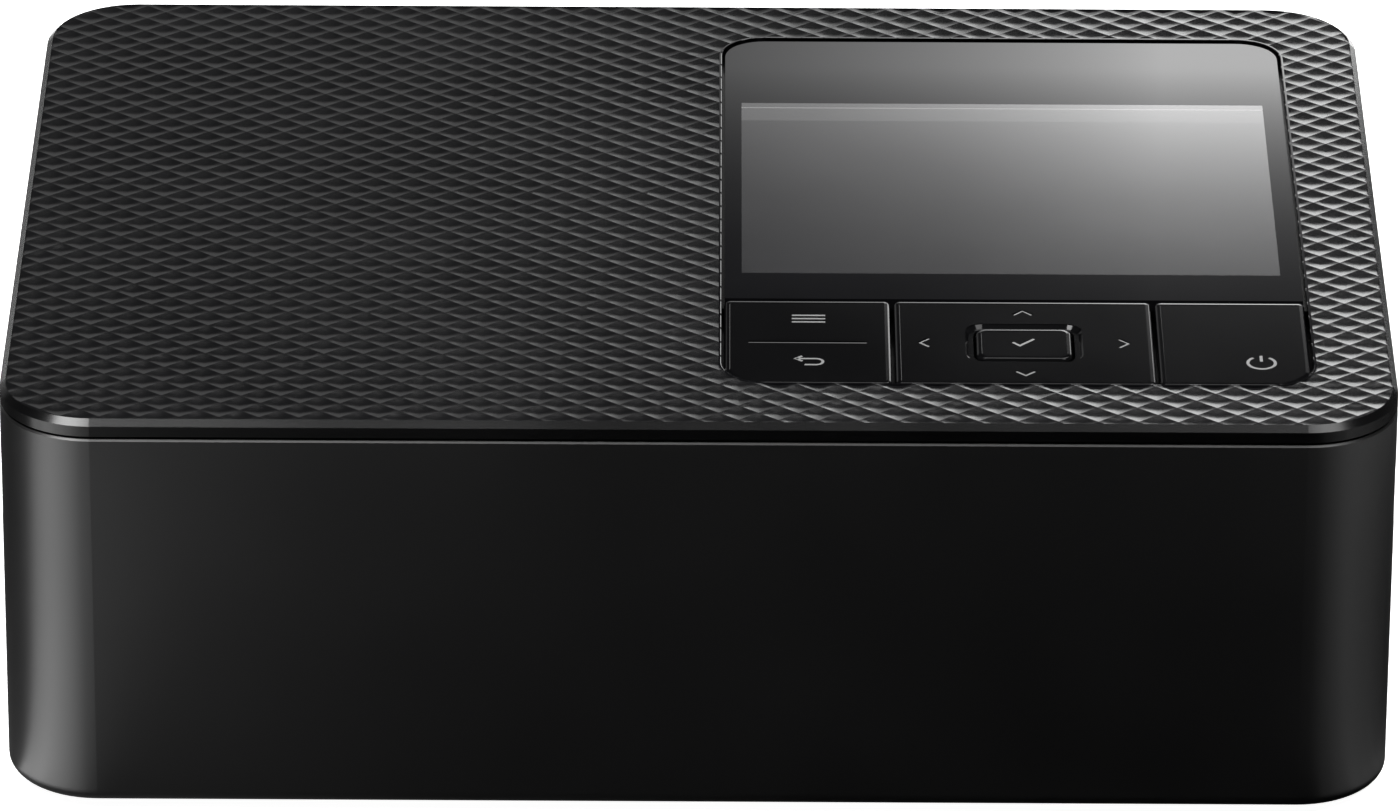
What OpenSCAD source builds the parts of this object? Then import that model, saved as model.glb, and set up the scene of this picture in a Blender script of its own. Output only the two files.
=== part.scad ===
// Compact photo printer: casing, hinged covers, keys, display and the print mechanism inside.
// Millimetres. X runs to the right, -Y is the front, +Z is up; the origin is under the middle, on the table.

/* [Casing] */
// Width, side to side
body_w = 182.2; // [176:0.1:200]
// Depth, front to back
body_d = 133; // [130:0.5:150]
// Height from the table to the top
body_h = 57.6; // [57:0.1:64]
// Radius of the upright corners
corner_r = 12.3; // [10:0.1:12.4]
// Wall thickness of the outer casing
wall = 2.4; // [2:0.1:2.8]
// Height of the rubber feet under the base
foot_h = 1.5; // [1:0.1:3]
// Rubber foot radius
foot_r = 5; // [3:0.1:6]
// Radius along the lower edge
edge_r = 2; // [1:0.1:2.3]
// Floor thickness of the base pan
floor_t = 2.2; // [1.6:0.1:3]
// Height of the seam between base pan and shell
seam_z = 10; // [9.8:0.1:11]
// Height of the top cover's visible edge
skirt_h = 2.25; // [2:0.05:3]
// Shadow gap under the top cover
shadow_gap = 0.45; // [0.3:0.05:0.8]
// Bevel along the top cover's edge
top_bevel = 0.8; // [0.4:0.1:1.2]

/* [Front cover] */
// Distance of the hinge from the front face and from the underside
hinge_in = 5.5; // [5:0.1:6]
// Radius of the hinge pins
hinge_pin_r = 1.2; // [0.8:0.1:1.4]
// Radius of the hinge eyes
eye_r = 2.7; // [2.4:0.1:2.8]
// Thickness of the cover's bottom lip
lip_t = 2; // [1.5:0.1:2.2]
// Height of each finger notch
notch_h = 10; // [6:0.5:16]
// Height of the notch centre above the table
notch_z = 43; // [30:0.5:46]

/* [Control panel] */
// Width of the panel recess in the top
panel_w = 77.5; // [72:0.1:84]
// Depth of the panel recess
panel_d = 109.4; // [106:0.1:114]
// Corner radius of the recess
panel_r = 6; // [3:0.1:8]
// Margin between the recess and the right side
panel_side = 10.7; // [8:0.1:14]
// Margin between the recess and the front
panel_front = 12.5; // [12:0.1:16]
// Gap between the recess and what lies in it
panel_gap = 0.45; // [0.3:0.05:0.8]
// Gap between neighbouring keys
key_gap = 0.65; // [0.5:0.05:1]
// Depth of the keys, front to back
key_d = 24.8; // [22:0.1:27]
// Width of the two-way key on the left
menu_w = 21.75; // [19:0.05:24]
// Width of the four-way pad
nav_w = 33.85; // [31:0.05:36]
// Thickness of the key tops
key_t = 1.6; // [1.4:0.1:1.8]
// Depth of the key tops and the window below the top cover's face
key_drop = 0.3; // [0.1:0.05:0.4]
// Width of the centre key
ok_w = 12.5; // [10:0.1:14]
// Depth of the centre key
ok_d = 9; // [8:0.1:11]
// Travel of the sliding keys
key_travel = 0.4; // [0.3:0.05:0.45]
// Thickness of the display window
window_t = 1.5; // [1.2:0.1:1.8]
// Width of the display's picture area, 3.5 inch
screen_w = 71.65; // [66:0.05:72]
// Height of the display's picture area
screen_d = 54.35; // [50:0.05:58]

/* [Paper path] */
// Width of the bay for the paper cassette
bay_w = 104; // [101:0.5:106]
// Height of the bay
bay_h = 15.8; // [14:0.1:16]
// Height of the paper exit over the bay
exit_h = 9.5; // [8:0.1:11]
// Height of the paper path above the table
path_z = 28.6; // [28:0.1:29.5]
// Radius of the platen roller
platen_r = 4.5; // [4:0.1:5]
// Radius of the capstan roller
capstan_r = 4.1; // [3.6:0.1:4.4]
// Radius of the pinch roller
pinch_r = 3; // [2.4:0.1:3.2]
// Radius of the feed roller tyres
feed_r = 5; // [4.4:0.1:5.4]
// Radius of the roller shafts
shaft_r = 2; // [1.5:0.1:2.4]
// Clearance of a shaft in its bush
run_gap = 0.05; // [0.02:0.01:0.08]

/* [Print unit] */
// Width of the ribbon cassette between the side plates
ribbon_w = 122.5; // [118:0.5:124]
// Distance between the two ribbon spools
spool_pitch = 42; // [41:0.5:44]
// Outer radius of the spool housings
housing_r = 9.7; // [9.4:0.1:10]
// Wall thickness of the spool housings
housing_t = 1.2; // [0.8:0.1:1.4]
// Radius of the full ribbon roll
supply_r = 7.6; // [6:0.1:8]
// Radius of the part-wound ribbon roll
take_up_r = 5.4; // [4:0.1:7.6]
// Lift of the print head
head_lift = 3; // [1:0.1:3.2]
// Thickness of the steel side plates
plate_t = 1.2; // [0.8:0.1:1.5]

/* [Gears] */
// Size of the teeth: pitch diameter over tooth count
gear_module = 0.8; // [0.7:0.05:0.8]
// Backlash between meshing teeth
backlash = 0.12; // [0.05:0.01:0.2]
// Face width of the gears
gear_t = 3; // [2:0.1:3.2]
// Teeth on the motor pinion
pinion_teeth = 12; // [10:1:14]
// Teeth on the large wheel of the drive idler
wheel_teeth = 40; // [36:1:40]
// Teeth on the small wheel of the drive idler
idler_teeth = 20; // [20:1:22]
// Teeth on the platen gear
platen_teeth = 22; // [22:1:24]
// Teeth on the capstan gear
capstan_teeth = 20; // [20:1:22]
// Teeth on the feed roller gear
feed_teeth = 16; // [14:1:18]
// Teeth on the ribbon idler
ribbon_idler_teeth = 18; // [16:1:20]
// Teeth on the take-up gear
take_up_teeth = 16; // [14:1:18]

/* [Side door and sockets] */
// Length of the ribbon door, front to back
door_l = 64.6; // [62:0.2:66]
// Height of the ribbon door
door_h = 25; // [23:0.1:26]
// Radius of the ribbon door's hinge pin
door_pin_r = 0.55; // [0.4:0.05:0.6]
// Clearance around the door
door_gap = 0.3; // [0.2:0.05:0.5]
// Width of the memory card slot
card_w = 25; // [22:0.5:26]
// Radius of the power jack's mouth
jack_r = 3.2; // [2.5:0.1:4]

/* [Hidden] */
$fn = 64;
EPS = 0.01;
half_w = body_w / 2;
half_d = body_d / 2;
front_y = -half_d;
shell_top = body_h - skirt_h - shadow_gap;
floor_z = foot_h + floor_t;
inner_x = half_w - wall;
inner_y = half_d - wall;
black = [0.06, 0.06, 0.065];
dark = [0.12, 0.12, 0.13];
steel = [0.72, 0.73, 0.75];
board_green = [0.10, 0.32, 0.20];

// Front cover hinge: the lip swings round it in a circle that the base keeps clear of.
hinge_y = front_y + hinge_in;
hinge_z = foot_h + hinge_in;
lip_swing_r = hinge_in + 0.35;
wrap_end_r = 7;
cover_end_y = hinge_y + wrap_end_r;
shell_front_y = cover_end_y + 0.4;
frame_y = hinge_y + lip_swing_r + 0.25;
frame_x = inner_x - 0.3;
eye_t = 3;
ear_x = half_w - 16.6;
edge_chamfer = 0.25;
eye_gap = 0.5;
side_clear = 0.3;

// Control panel: recess centre, ledge, shelf and key stack.
panel_x1 = half_w - panel_side;
panel_x0 = panel_x1 - panel_w;
panel_y0 = front_y + panel_front;
panel_y1 = panel_y0 + panel_d;
panel_top = body_h - key_drop;
ledge_w = 1.5;
ledge_z = panel_top - window_t;
ledge_t = 1.5;
shelf_z1 = body_h - 3.4;
shelf_t = 1.3;
key_z = panel_top - key_t;
key_y0 = panel_y0 + panel_gap;
key_y1 = key_y0 + key_d;
key_yc = (key_y0 + key_y1) / 2;
menu_x0 = panel_x0 + panel_gap;
menu_x1 = menu_x0 + menu_w;
nav_x0 = menu_x1 + key_gap;
nav_x1 = nav_x0 + nav_w;
nav_xc = (nav_x0 + nav_x1) / 2;
power_x0 = nav_x1 + key_gap;
power_x1 = panel_x1 - panel_gap;
window_y0 = key_y1 + key_gap;
cradle_t = 0.5;
cradle_rib_r = 0.5;
cradle_z = shelf_z1 + cradle_rib_r + 0.03;
stem_r = 1.2;
stem_z = shelf_z1 - shelf_t + key_travel + 0.2;
stem_reach = 8;
key_chamfer = 0.3;
pcb_t = 1.2;
switch_h = 2;
key_pcb_z = shelf_z1 - shelf_t - switch_h - pcb_t;
screen_t = 3.2;
screen_x = (panel_x0 + panel_x1) / 2 - 0.25;
screen_y = window_y0 + 35;

// Print unit, hung between two steel plates beside the right wall.
right_plate_x = inner_x - 3.2;
ribbon_x1 = right_plate_x + plate_t - 0.2;
ribbon_x0 = ribbon_x1 - ribbon_w - 2;
left_plate_x = ribbon_x0 - 4 - plate_t;
unit_x = (left_plate_x + right_plate_x + plate_t) / 2;
plate_y1 = inner_y - 4.5;
plate_z0 = floor_z;
spool_z = path_z + 12.4;
plate_z1 = spool_z + housing_r + 2.5;
bay_x0 = unit_x - bay_w / 2;
bay_x1 = unit_x + bay_w / 2;
exit_z0 = path_z - 7;

// Roller and spool centres as [y, z]; each gear sits where its teeth mesh with the one before.
platen_at = [plate_y1 - 38.6, path_z - 0.1 - platen_r];
capstan_at = [plate_y1 - 6.6, path_z - 0.1 - capstan_r];
pinch_at = [capstan_at[0], path_z + 0.3 + pinch_r];
take_up_at = [platen_at[0] - spool_pitch / 2, spool_z];
supply_at = [platen_at[0] + spool_pitch / 2, spool_z];
feed_at = platen_at + gear_reach(platen_teeth, feed_teeth) * [cos(-50), sin(-50)];
idler_at = meet(capstan_at, gear_reach(capstan_teeth, idler_teeth),
                platen_at, gear_reach(platen_teeth, idler_teeth), -1);
ribbon_idler_at = meet(platen_at, gear_reach(platen_teeth, ribbon_idler_teeth),
                       take_up_at, gear_reach(take_up_teeth, ribbon_idler_teeth), 1);
board_z = plate_z1 - 6.2;
motor_r = 12;
motor_reach = gear_reach(wheel_teeth, pinion_teeth);
motor_rise = board_z - motor_r - 1.8 - idler_at[1];
motor_at = idler_at + [-sqrt(motor_reach * motor_reach - motor_rise * motor_rise), motor_rise];
gear_x1 = left_plate_x - 1.3;
gear_x0 = gear_x1 - gear_t;
wheel_x1 = gear_x0 - 1;
wheel_x0 = wheel_x1 - gear_t;
bracket_x = wheel_x0 - 1.3 - plate_t;
motor_l = inner_x + bracket_x - 8.7;
motor_bore = 7;
hub_r = 2.6;
hub_depth = 6;
core_r = 4.2;
mouth_h = 7;
bush_r = shaft_r + 1.5;
pinch_shaft_r = 1.2;
sheet_w = bay_w + 1;
carriage_z = spool_z + 1;
carriage_w = 8;
carriage_h = 3.5;
head_z = path_z + 0.9;

guide_y = [take_up_at[0] + 13.2, supply_at[0] - 13.2];
guide_z = path_z + 2.4;
bridge_z = [guide_z - 1, spool_z - 3];
plate_y0 = take_up_at[0] - 18;
stay_at = [[plate_y0 + 4, path_z - 4.4], [plate_y0 + 4.5, spool_z + 5],
           [plate_y1 - 2.6, spool_z + 3], [plate_y1 - 2.6, plate_z0 + 6.3]];
bracket_y0 = motor_at[0] - 10;
bracket_post_at = [[plate_y1 - 2.8, spool_z + 1], [bracket_y0 + 4.7, plate_z0 + 6.3],
                   [bracket_y0 + 6.7, spool_z + 6.5], [plate_y1 - 3.6, plate_z0 + 5.3]];
lever_at = [plate_y0 + 3.5, spool_z + 3];
lever_l = 11;

// Side door and sockets on the right wall.
door_y0 = take_up_at[0] - housing_r - 1.8;
door_y1 = door_y0 + door_l;
door_z0 = spool_z - 13.7;
door_r = wall / 2;
door_x = half_w - door_r;
io_z = spool_z - 5.5;
io_x0 = frame_x - 42.4;
card_y = front_y + 29.5;
card_depth = 30;
usb_y = front_y + 26.5;
usb_w = 9;
usb_h = 3.3;
usb_z = io_z - usb_h / 2 - 0.1;
jack_x = (bracket_x - inner_x) / 2 + 2;
jack_z = 15;
slot_z0 = path_z - 3;
slot_h = 6.4;

// Places of posts, screws and boards.
screw_at = [[-half_w + 11.1, half_d - 38.5], [-half_w + 11.1, front_y + 40.5], [half_w - 10.6, front_y + 34.5]];
screw_r = 1.5;
boss_r = 3.6;
boss_top = seam_z + 7.5;
foot_at = [half_w - 19, half_d - 22];
io_post_at = [[frame_x - 9.4, card_y - 11.5], [frame_x - 9.4, card_y + 12]];
board_x0 = -inner_x + 3;
board_x1 = bracket_x - 1;
board_y = [front_y + 26.5, half_d - 22.5];
post_r = 2.5;
post_at = [for (x = [board_x0 + 3, board_x1 - 3], y = [board_y[0] + 3, board_y[1] - 3]) [x, y]];
pcb_boss_r = 2;
vent_count = 9;
vent_pitch = 4.2;
vent_w = 1.8;
vent_y0 = half_d - 50.5;
vent_z0 = seam_z + 8;
vent_h = 20;
menu_xc = (menu_x0 + menu_x1) / 2;
power_xc = (power_x0 + power_x1) / 2;
nav_reach = [13.5, 10.2];
stems = concat([for (s = [-1, 1]) [menu_xc, key_yc + s * stem_reach]],
               [for (s = [-1, 1]) [nav_xc + s * nav_reach[0], key_yc]],
               [for (s = [-1, 1]) [nav_xc, key_yc + s * nav_reach[1]]],
               [[nav_xc, key_yc], [power_xc, key_yc]]);

function gear_reach(a, b) = gear_module * (a + b) / 2;

// Point at distance ra from a and rb from b, on the side that s picks.
function meet(a, ra, b, rb, s) =
    let (d = norm(b - a), u = (b - a) / d, k = (ra * ra - rb * rb + d * d) / (2 * d),
         h = sqrt(ra * ra - k * k))
    a + k * u + s * h * [-u[1], u[0]];

// Direction from one centre to another, in degrees.
function heading(a, b) = atan2(b[1] - a[1], b[0] - a[0]);

// Turn that puts a gap of the second gear where the first has a tooth.
function mesh_turn(za, turn_a, zb, way) = way + 180 + (180 - (turn_a - way) * za) / zb;

platen_turn = 0;
idler_turn = mesh_turn(platen_teeth, platen_turn, idler_teeth, heading(platen_at, idler_at));
capstan_turn = mesh_turn(idler_teeth, idler_turn, capstan_teeth, heading(idler_at, capstan_at));
feed_turn = mesh_turn(platen_teeth, platen_turn, feed_teeth, heading(platen_at, feed_at));
ribbon_idler_turn = mesh_turn(platen_teeth, platen_turn, ribbon_idler_teeth,
                              heading(platen_at, ribbon_idler_at));
take_up_turn = mesh_turn(ribbon_idler_teeth, ribbon_idler_turn, take_up_teeth,
                         heading(ribbon_idler_at, take_up_at));
pinion_turn = mesh_turn(wheel_teeth, idler_turn, pinion_teeth, heading(idler_at, motor_at));

// Box between two corners.
module box(a, b) {
    translate(a) cube(b - a);
}

// Lays a shape drawn in the (y, z) plane across the printer, from x, with its own z along +X.
module across(x, at = [0, 0]) {
    translate([x, at[0], at[1]]) rotate([90, 0, 90]) children();
}

// Round bar across the printer between two x values.
module bar(x0, x1, at, r) {
    across(x0, at) cylinder(r = r, h = x1 - x0);
}

// Rectangle with round corners.
module round_rect(w, d, r) {
    square([w - 2 * r, d], center = true);
    square([w, d - 2 * r], center = true);
    for (sx = [-1, 1], sy = [-1, 1])
        translate([sx * (w / 2 - r), sy * (d / 2 - r)]) circle(r);
}

// Sweeps an edge profile, x out from the corner centre and y up, round a rounded rectangle.
module around(w, d, r) {
    for (a = [0 : 3]) {
        run = a % 2 == 0 ? d - 2 * r : w - 2 * r;
        out = a % 2 == 0 ? w / 2 - r : d / 2 - r;
        rotate(90 * a) translate([out, run / 2, 0]) rotate([90, 0, 0])
            linear_extrude(run) children();
        rotate(90 * a) translate([out, run / 2, 0]) rotate_extrude(angle = 90) children();
    }
}

// Profile of a casing wall of height h, with its upper outer edge broken.
module wall_profile(h) {
    polygon([[corner_r - wall, 0], [corner_r, 0], [corner_r, h - edge_chamfer], [corner_r - edge_chamfer, h],
             [corner_r - wall, h]]);
}

// Profile of the casing's lower edge: a wall up to z1, a lip of the given depth and a round outer edge.
module lower_profile(z1, lip, t) {
    difference() {
        union() {
            translate([0, foot_h]) wall_profile(z1 - foot_h);
            translate([corner_r - lip, foot_h]) square([lip, t]);
        }
        translate([corner_r - edge_r, foot_h]) difference() {
            translate([0, -1]) square(edge_r + 1);
            translate([0, edge_r]) circle(edge_r);
            translate([-1, edge_r]) square(edge_r + 3);
        }
    }
}

// Slab with round corners and a bevelled upper edge.
module bevelled_slab(w, d, r, h, c) {
    translate([r - w / 2, r - d / 2, 0]) cube([w - 2 * r, d - 2 * r, h]);
    around(w, d, r) polygon([[0, 0], [r, 0], [r, h - c], [r - c, h], [0, h]]);
}

// Involute gear in the (y, z) plane; flank points follow the unrolled base circle.
function flank(rb, r, half) =
    let (t = sqrt(max(0, r * r / (rb * rb) - 1)), spread = t * 180 / PI - atan(t))
    [r, half - spread];
function tooth(n) =
    let (rp = gear_module * n / 2, rb = rp * cos(20), rf = rp - 1.2 * gear_module, ra = rp + gear_module,
         t = tan(20), half = 90 / n - backlash * 45 / (PI * rp) + t * 180 / PI - 20,
         r0 = max(rb, rf + EPS), flanks = [for (k = [0 : 3]) flank(rb, r0 + (ra - r0) * k / 3, half)])
    concat([[rf, flanks[0][1] + 0.15 * 360 / n / 2]], flanks);
module gear_outline(n) {
    t = tooth(n);
    polygon([for (i = [0 : n - 1]) each concat(
        [for (k = [0 : len(t) - 1]) t[k][0] * [cos(360 * i / n - t[k][1]), sin(360 * i / n - t[k][1])]],
        [for (k = [len(t) - 1 : -1 : 0]) t[k][0] * [cos(360 * i / n + t[k][1]), sin(360 * i / n + t[k][1])]])]);
}
module gear(x, at, n, turn, bore_r, t = gear_t) {
    across(x, at) rotate(turn) linear_extrude(t) difference() {
        gear_outline(n);
        circle(bore_r);
    }
}

// ---- Casing ----

// Pin bore through a hinge at the front edge, between two x values.
module hinge_bore(x0, x1, r) {
    bar(x0, x1, [hinge_y, hinge_z], r);
}

// Hinge eye: a round end on an arm that runs back or forward to y1.
module hinge_eye(x0, y1) {
    bar(x0, x0 + eye_t, [hinge_y, hinge_z], eye_r);
    box([x0, min(y1, hinge_y), hinge_z - eye_r], [x0 + eye_t, max(y1, hinge_y), hinge_z + eye_r]);
}

// Place of a hinge part on the right, or mirrored on the left.
module both_sides() {
    children();
    mirror([1, 0, 0]) children();
}

module base_pan() {
    stub_x0 = bay_x1 + 0.25;
    color(dark) difference() {
        union() {
            intersection() {
                union() {
                    translate([0, 0, foot_h]) linear_extrude(floor_t)
                        round_rect(body_w - 2 * wall, body_d - 2 * wall, corner_r - wall);
                    around(body_w, body_d, corner_r) lower_profile(seam_z, wall, floor_t);
                }
                union() {
                    box([-frame_x, frame_y, 0], [frame_x, half_d + 1, body_h]);
                    box([-half_w - 1, shell_front_y, 0], [half_w + 1, half_d + 1, body_h]);
                }
            }
            box([stub_x0, frame_y, floor_z - EPS], [frame_x, frame_y + floor_t, seam_z - 0.1]);
            box([-frame_x, frame_y, floor_z - EPS], [bay_x0 - 0.25, frame_y + floor_t, seam_z - 0.1]);
            both_sides() hinge_eye(ear_x, frame_y + 1);
            for (p = screw_at) translate([p[0], p[1], floor_z - EPS])
                cylinder(r = boss_r, h = seam_z - floor_z);
            for (p = post_at) translate([p[0], p[1], floor_z - EPS])
                cylinder(r = post_r, h = board_z - floor_z);
            for (p = io_post_at) translate([p[0], p[1], floor_z - EPS])
                cylinder(r = post_r, h = io_z - floor_z);
        }
        both_sides() hinge_bore(ear_x - 1, ear_x + eye_t + 1, hinge_pin_r + 0.02);
        for (p = screw_at) translate([p[0], p[1], 0]) {
            cylinder(r = screw_r + 0.1, h = seam_z + 1);
            cylinder(r = 2 * screw_r + 0.1, h = foot_h + 4);
        }
    }
}

module rubber_feet() {
    color([0.16, 0.16, 0.16])
        for (sx = [-1, 1], sy = [-1, 1])
            translate([sx * foot_at[0], sy * foot_at[1], 0]) cylinder(r = foot_r, h = foot_h);
}

// Case screws: a round head in the base and a shank up into the shell's boss.
module case_screws() {
    color(steel)
        for (p = screw_at) translate([p[0], p[1], foot_h + 2.4]) {
            cylinder(r = 2 * screw_r - 0.2, h = 1.6);
            cylinder(r = screw_r, h = boss_top - foot_h - 4);
        }
}

module body_shell() {
    color(black) difference() {
        union() {
            intersection() {
                around(body_w, body_d, corner_r)
                    translate([0, seam_z]) wall_profile(shell_top - seam_z);
                box([-half_w - 1, shell_front_y, 0], [half_w + 1, half_d + 1, body_h]);
            }
            for (p = screw_at) {
                side = sign(p[0]);
                translate([p[0], p[1], seam_z]) cylinder(r = boss_r, h = boss_top - seam_z);
                translate([p[0], p[1] - 0.8, seam_z]) mirror([side < 0 ? 1 : 0, 0, 0])
                    cube([inner_x - abs(p[0]) + 0.5, 1.6, boss_top - seam_z]);
            }
        }
        for (p = screw_at) translate([p[0], p[1], seam_z - 1])
            cylinder(r = screw_r + 0.02, h = boss_top - seam_z);
        box([inner_x - 1, door_y0 - door_gap, door_z0 - door_gap],
            [half_w + 1, door_y1 + door_gap, door_z0 + door_h + door_gap]);
        door_pin(2.5, door_pin_r + 0.03);
        box([inner_x - 1, card_y - card_w / 2, io_z + pcb_t + 0.6],
            [half_w + 1, card_y + card_w / 2, io_z + pcb_t + 3.6]);
        usb_outline(inner_x - 1, half_w + 1, 0.25);
        translate([jack_x, inner_y - 1, jack_z]) rotate([-90, 0, 0]) cylinder(r = jack_r + 1.3, h = wall + 2);
        box([bay_x0 - 1, inner_y - 1, slot_z0], [bay_x1 + 1, half_d + 1, slot_z0 + slot_h]);
        for (i = [0 : vent_count - 1]) {
            y = vent_y0 + i * vent_pitch;
            box([-half_w - 1, y, vent_z0], [-inner_x + 1, y + vent_w, vent_z0 + vent_h]);
        }
    }
}

// The hinge pin of the ribbon door, reaching the given length past each end of the door.
module door_pin(past, r) {
    translate([door_x, door_y0 - past, door_z0 + door_r]) rotate([-90, 0, 0])
        cylinder(r = r, h = door_l + 2 * past);
}

module usb_outline(x0, x1, grow) {
    r = usb_h / 2;
    across(x0, [usb_y, usb_z]) linear_extrude(x1 - x0) {
        for (s = [-1, 1]) translate([s * (usb_w / 2 - r), 0]) circle(r + grow);
        square([usb_w - 2 * r, usb_h + 2 * grow], center = true);
    }
}

module front_frame() {
    z0 = seam_z + 0.1;
    z1 = body_h - skirt_h - 1.9;
    t = 2.2;
    color(dark) difference() {
        union() {
            box([-frame_x, frame_y, z0], [frame_x, frame_y + t, z1]);
            both_sides() box([frame_x - 2, frame_y, z0], [frame_x, frame_y + 4, z1]);
            box([bay_x0 - 2, frame_y, exit_z0 - 2], [bay_x1 + 2, frame_y + 7, exit_z0]);
            box([bay_x0 - 2, frame_y, exit_z0 + exit_h], [bay_x1 + 2, frame_y + 7, exit_z0 + exit_h + 1.6]);
        }
        box([bay_x0, frame_y - 1, 0], [bay_x1, frame_y + 9, floor_z + bay_h]);
        box([bay_x0, frame_y - 1, exit_z0], [bay_x1, frame_y + 9, exit_z0 + exit_h]);
        box([panel_x0 - 3, frame_y - 1, key_pcb_z - 0.5], [panel_x1 + 3, frame_y + 9, body_h]);
    }
}

// Drop-down cover of the paper bay: it wraps round both front corners and turns on two pins at its foot.
module front_cover() {
    eye_x = ear_x + eye_t + eye_gap;
    top_swing_r = shell_top - hinge_z + 0.3;
    rib_z0 = exit_z0 + exit_h + 1;
    rib_t = 1.6;
    color(black) difference() {
        union() {
            intersection() {
                around(body_w, body_d, corner_r) lower_profile(shell_top, hinge_in, lip_t);
                box([-half_w - 1, front_y - 1, 0], [half_w + 1, cover_end_y, body_h]);
                union() {
                    bar(-half_w - 1, half_w + 1, [hinge_y, hinge_z], top_swing_r);
                    box([-half_w - 1, front_y - 1, 0], [half_w + 1, cover_end_y, hinge_z + 10]);
                }
            }
            both_sides() {
                hinge_eye(eye_x, front_y + wall - 0.5);
                for (x = [0.25, 0.65] * frame_x)
                    box([x, front_y + wall - 0.5, rib_z0], [x + rib_t, frame_y - 0.4, shell_top - 9]);
                box([0.1 * frame_x, front_y + wall - 0.5, rib_z0 + 4],
                    [0.8 * frame_x, front_y + wall + 1.2, rib_z0 + 4 + rib_t]);
            }
        }
        // Lower rear corners, trimmed to the circle that they swing in.
        difference() {
            box([-half_w - 1, hinge_y, 0], [half_w + 1, cover_end_y + 1, hinge_z]);
            bar(-half_w - 2, half_w + 2, [hinge_y, hinge_z], wrap_end_r);
        }
        difference() {
            box([-frame_x - 0.15, hinge_y, 0], [frame_x + 0.15, cover_end_y + 1, hinge_z]);
            bar(-half_w - 2, half_w + 2, [hinge_y, hinge_z], lip_swing_r - 0.05);
        }
        both_sides() {
            box([ear_x - side_clear, front_y + wall, 0],
                [ear_x + eye_t + side_clear, hinge_y + 4, hinge_z + 0.5]);
            hinge_bore(eye_x - 1, eye_x + eye_t + 1, hinge_pin_r + run_gap);
            across(inner_x - 1, [cover_end_y, notch_z]) linear_extrude(wall + 2) {
                square([4, notch_h - 4], center = true);
                for (s = [-1, 1]) translate([0, s * (notch_h / 2 - 2)]) circle(2);
            }
        }
    }
}

module front_hinge_pins() {
    color(steel) both_sides()
        bar(ear_x + 0.2, ear_x + 2 * eye_t + eye_gap - 0.2, [hinge_y, hinge_z], hinge_pin_r);
}

module ink_door() {
    mid_y = (door_y0 + door_y1) / 2;
    top_z = door_z0 + door_h;
    color(black) difference() {
        union() {
            box([inner_x, door_y0, door_z0 + door_r], [half_w, door_y1, top_z]);
            translate([door_x, door_y0, door_z0 + door_r]) rotate([-90, 0, 0])
                cylinder(r = door_r, h = door_l);
            box([inner_x - 1.2, mid_y - 5, top_z - 3.2], [inner_x + EPS, mid_y + 5, top_z - 1.8]);
        }
        door_pin(1, door_pin_r + run_gap);
        translate([half_w + 1.5, mid_y - 9, top_z - 0.4]) rotate([-90, 0, 0]) cylinder(r = 3, h = 18);
    }
}

module ink_door_pin() {
    color(steel) door_pin(2.3, door_pin_r);
}

// ---- Top cover, display and keys ----

// Outline of the panel recess, drawn in by a gap.
module panel_outline(gap) {
    translate([(panel_x0 + panel_x1) / 2, (panel_y0 + panel_y1) / 2])
        round_rect(panel_w - 2 * gap, panel_d - 2 * gap, panel_r - gap);
}

module top_cover() {
    z0 = body_h - skirt_h;
    rim = wall + 0.15;
    collar = 2;
    tray_y1 = window_y0 + ledge_w;
    color(black) difference() {
        union() {
            translate([0, 0, z0]) bevelled_slab(body_w, body_d, corner_r, skirt_h, top_bevel);
            translate([0, 0, z0 - 1.6]) linear_extrude(1.6 + EPS) difference() {
                round_rect(body_w - 2 * rim, body_d - 2 * rim, corner_r - rim);
                round_rect(body_w - 2 * rim - 2.4, body_d - 2 * rim - 2.4, corner_r - rim - 1.2);
            }
            intersection() {
                translate([0, 0, shell_top]) linear_extrude(shadow_gap + EPS) difference() {
                    round_rect(body_w - 2, body_d - 2, corner_r - 1);
                    round_rect(body_w - 2 * rim - EPS, body_d - 2 * rim - EPS, corner_r - rim);
                }
                box([-half_w, shell_front_y + 0.2, 0], [half_w, half_d, body_h]);
            }
            translate([0, 0, ledge_z - ledge_t]) linear_extrude(z0 + EPS - ledge_z + ledge_t)
                panel_outline(-collar);
            intersection() {
                translate([0, 0, shelf_z1 - shelf_t]) linear_extrude(z0 + EPS - shelf_z1 + shelf_t)
                    panel_outline(-collar);
                box([-half_w, front_y, 0], [half_w, tray_y1, body_h]);
            }
            for (x = [panel_x0 + 5, panel_x1 - 5], y = [key_y0 + 3, key_y1 - 3])
                translate([x, y, key_pcb_z + pcb_t])
                    cylinder(r = pcb_boss_r, h = shelf_z1 - shelf_t - key_pcb_z - pcb_t + EPS);
        }
        // Key well over the shelf, window seat, and the display opening inside the ledge.
        intersection() {
            translate([0, 0, shelf_z1]) linear_extrude(body_h) panel_outline(0);
            box([-half_w, front_y, 0], [half_w, window_y0, body_h + 1]);
        }
        translate([0, 0, ledge_z]) linear_extrude(body_h) panel_outline(0);
        intersection() {
            linear_extrude(body_h) panel_outline(ledge_w);
            box([-half_w, tray_y1, 0], [half_w, half_d, body_h]);
        }
        for (p = stems) translate([p[0], p[1], shelf_z1 - shelf_t - 1])
            cylinder(r = stem_r + 0.4, h = shelf_t + 2);
    }
}

module display_window() {
    color([0.05, 0.05, 0.06]) intersection() {
        translate([0, 0, ledge_z]) linear_extrude(window_t) panel_outline(panel_gap);
        box([-half_w, window_y0, 0], [half_w, half_d, body_h]);
    }
}

module display_module() {
    w = screen_w + 2;
    d = screen_d + 6;
    color([0.2, 0.21, 0.23])
        translate([screen_x - w / 2, screen_y - d / 2, ledge_z - screen_t]) cube([w, d, screen_t]);
}

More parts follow.
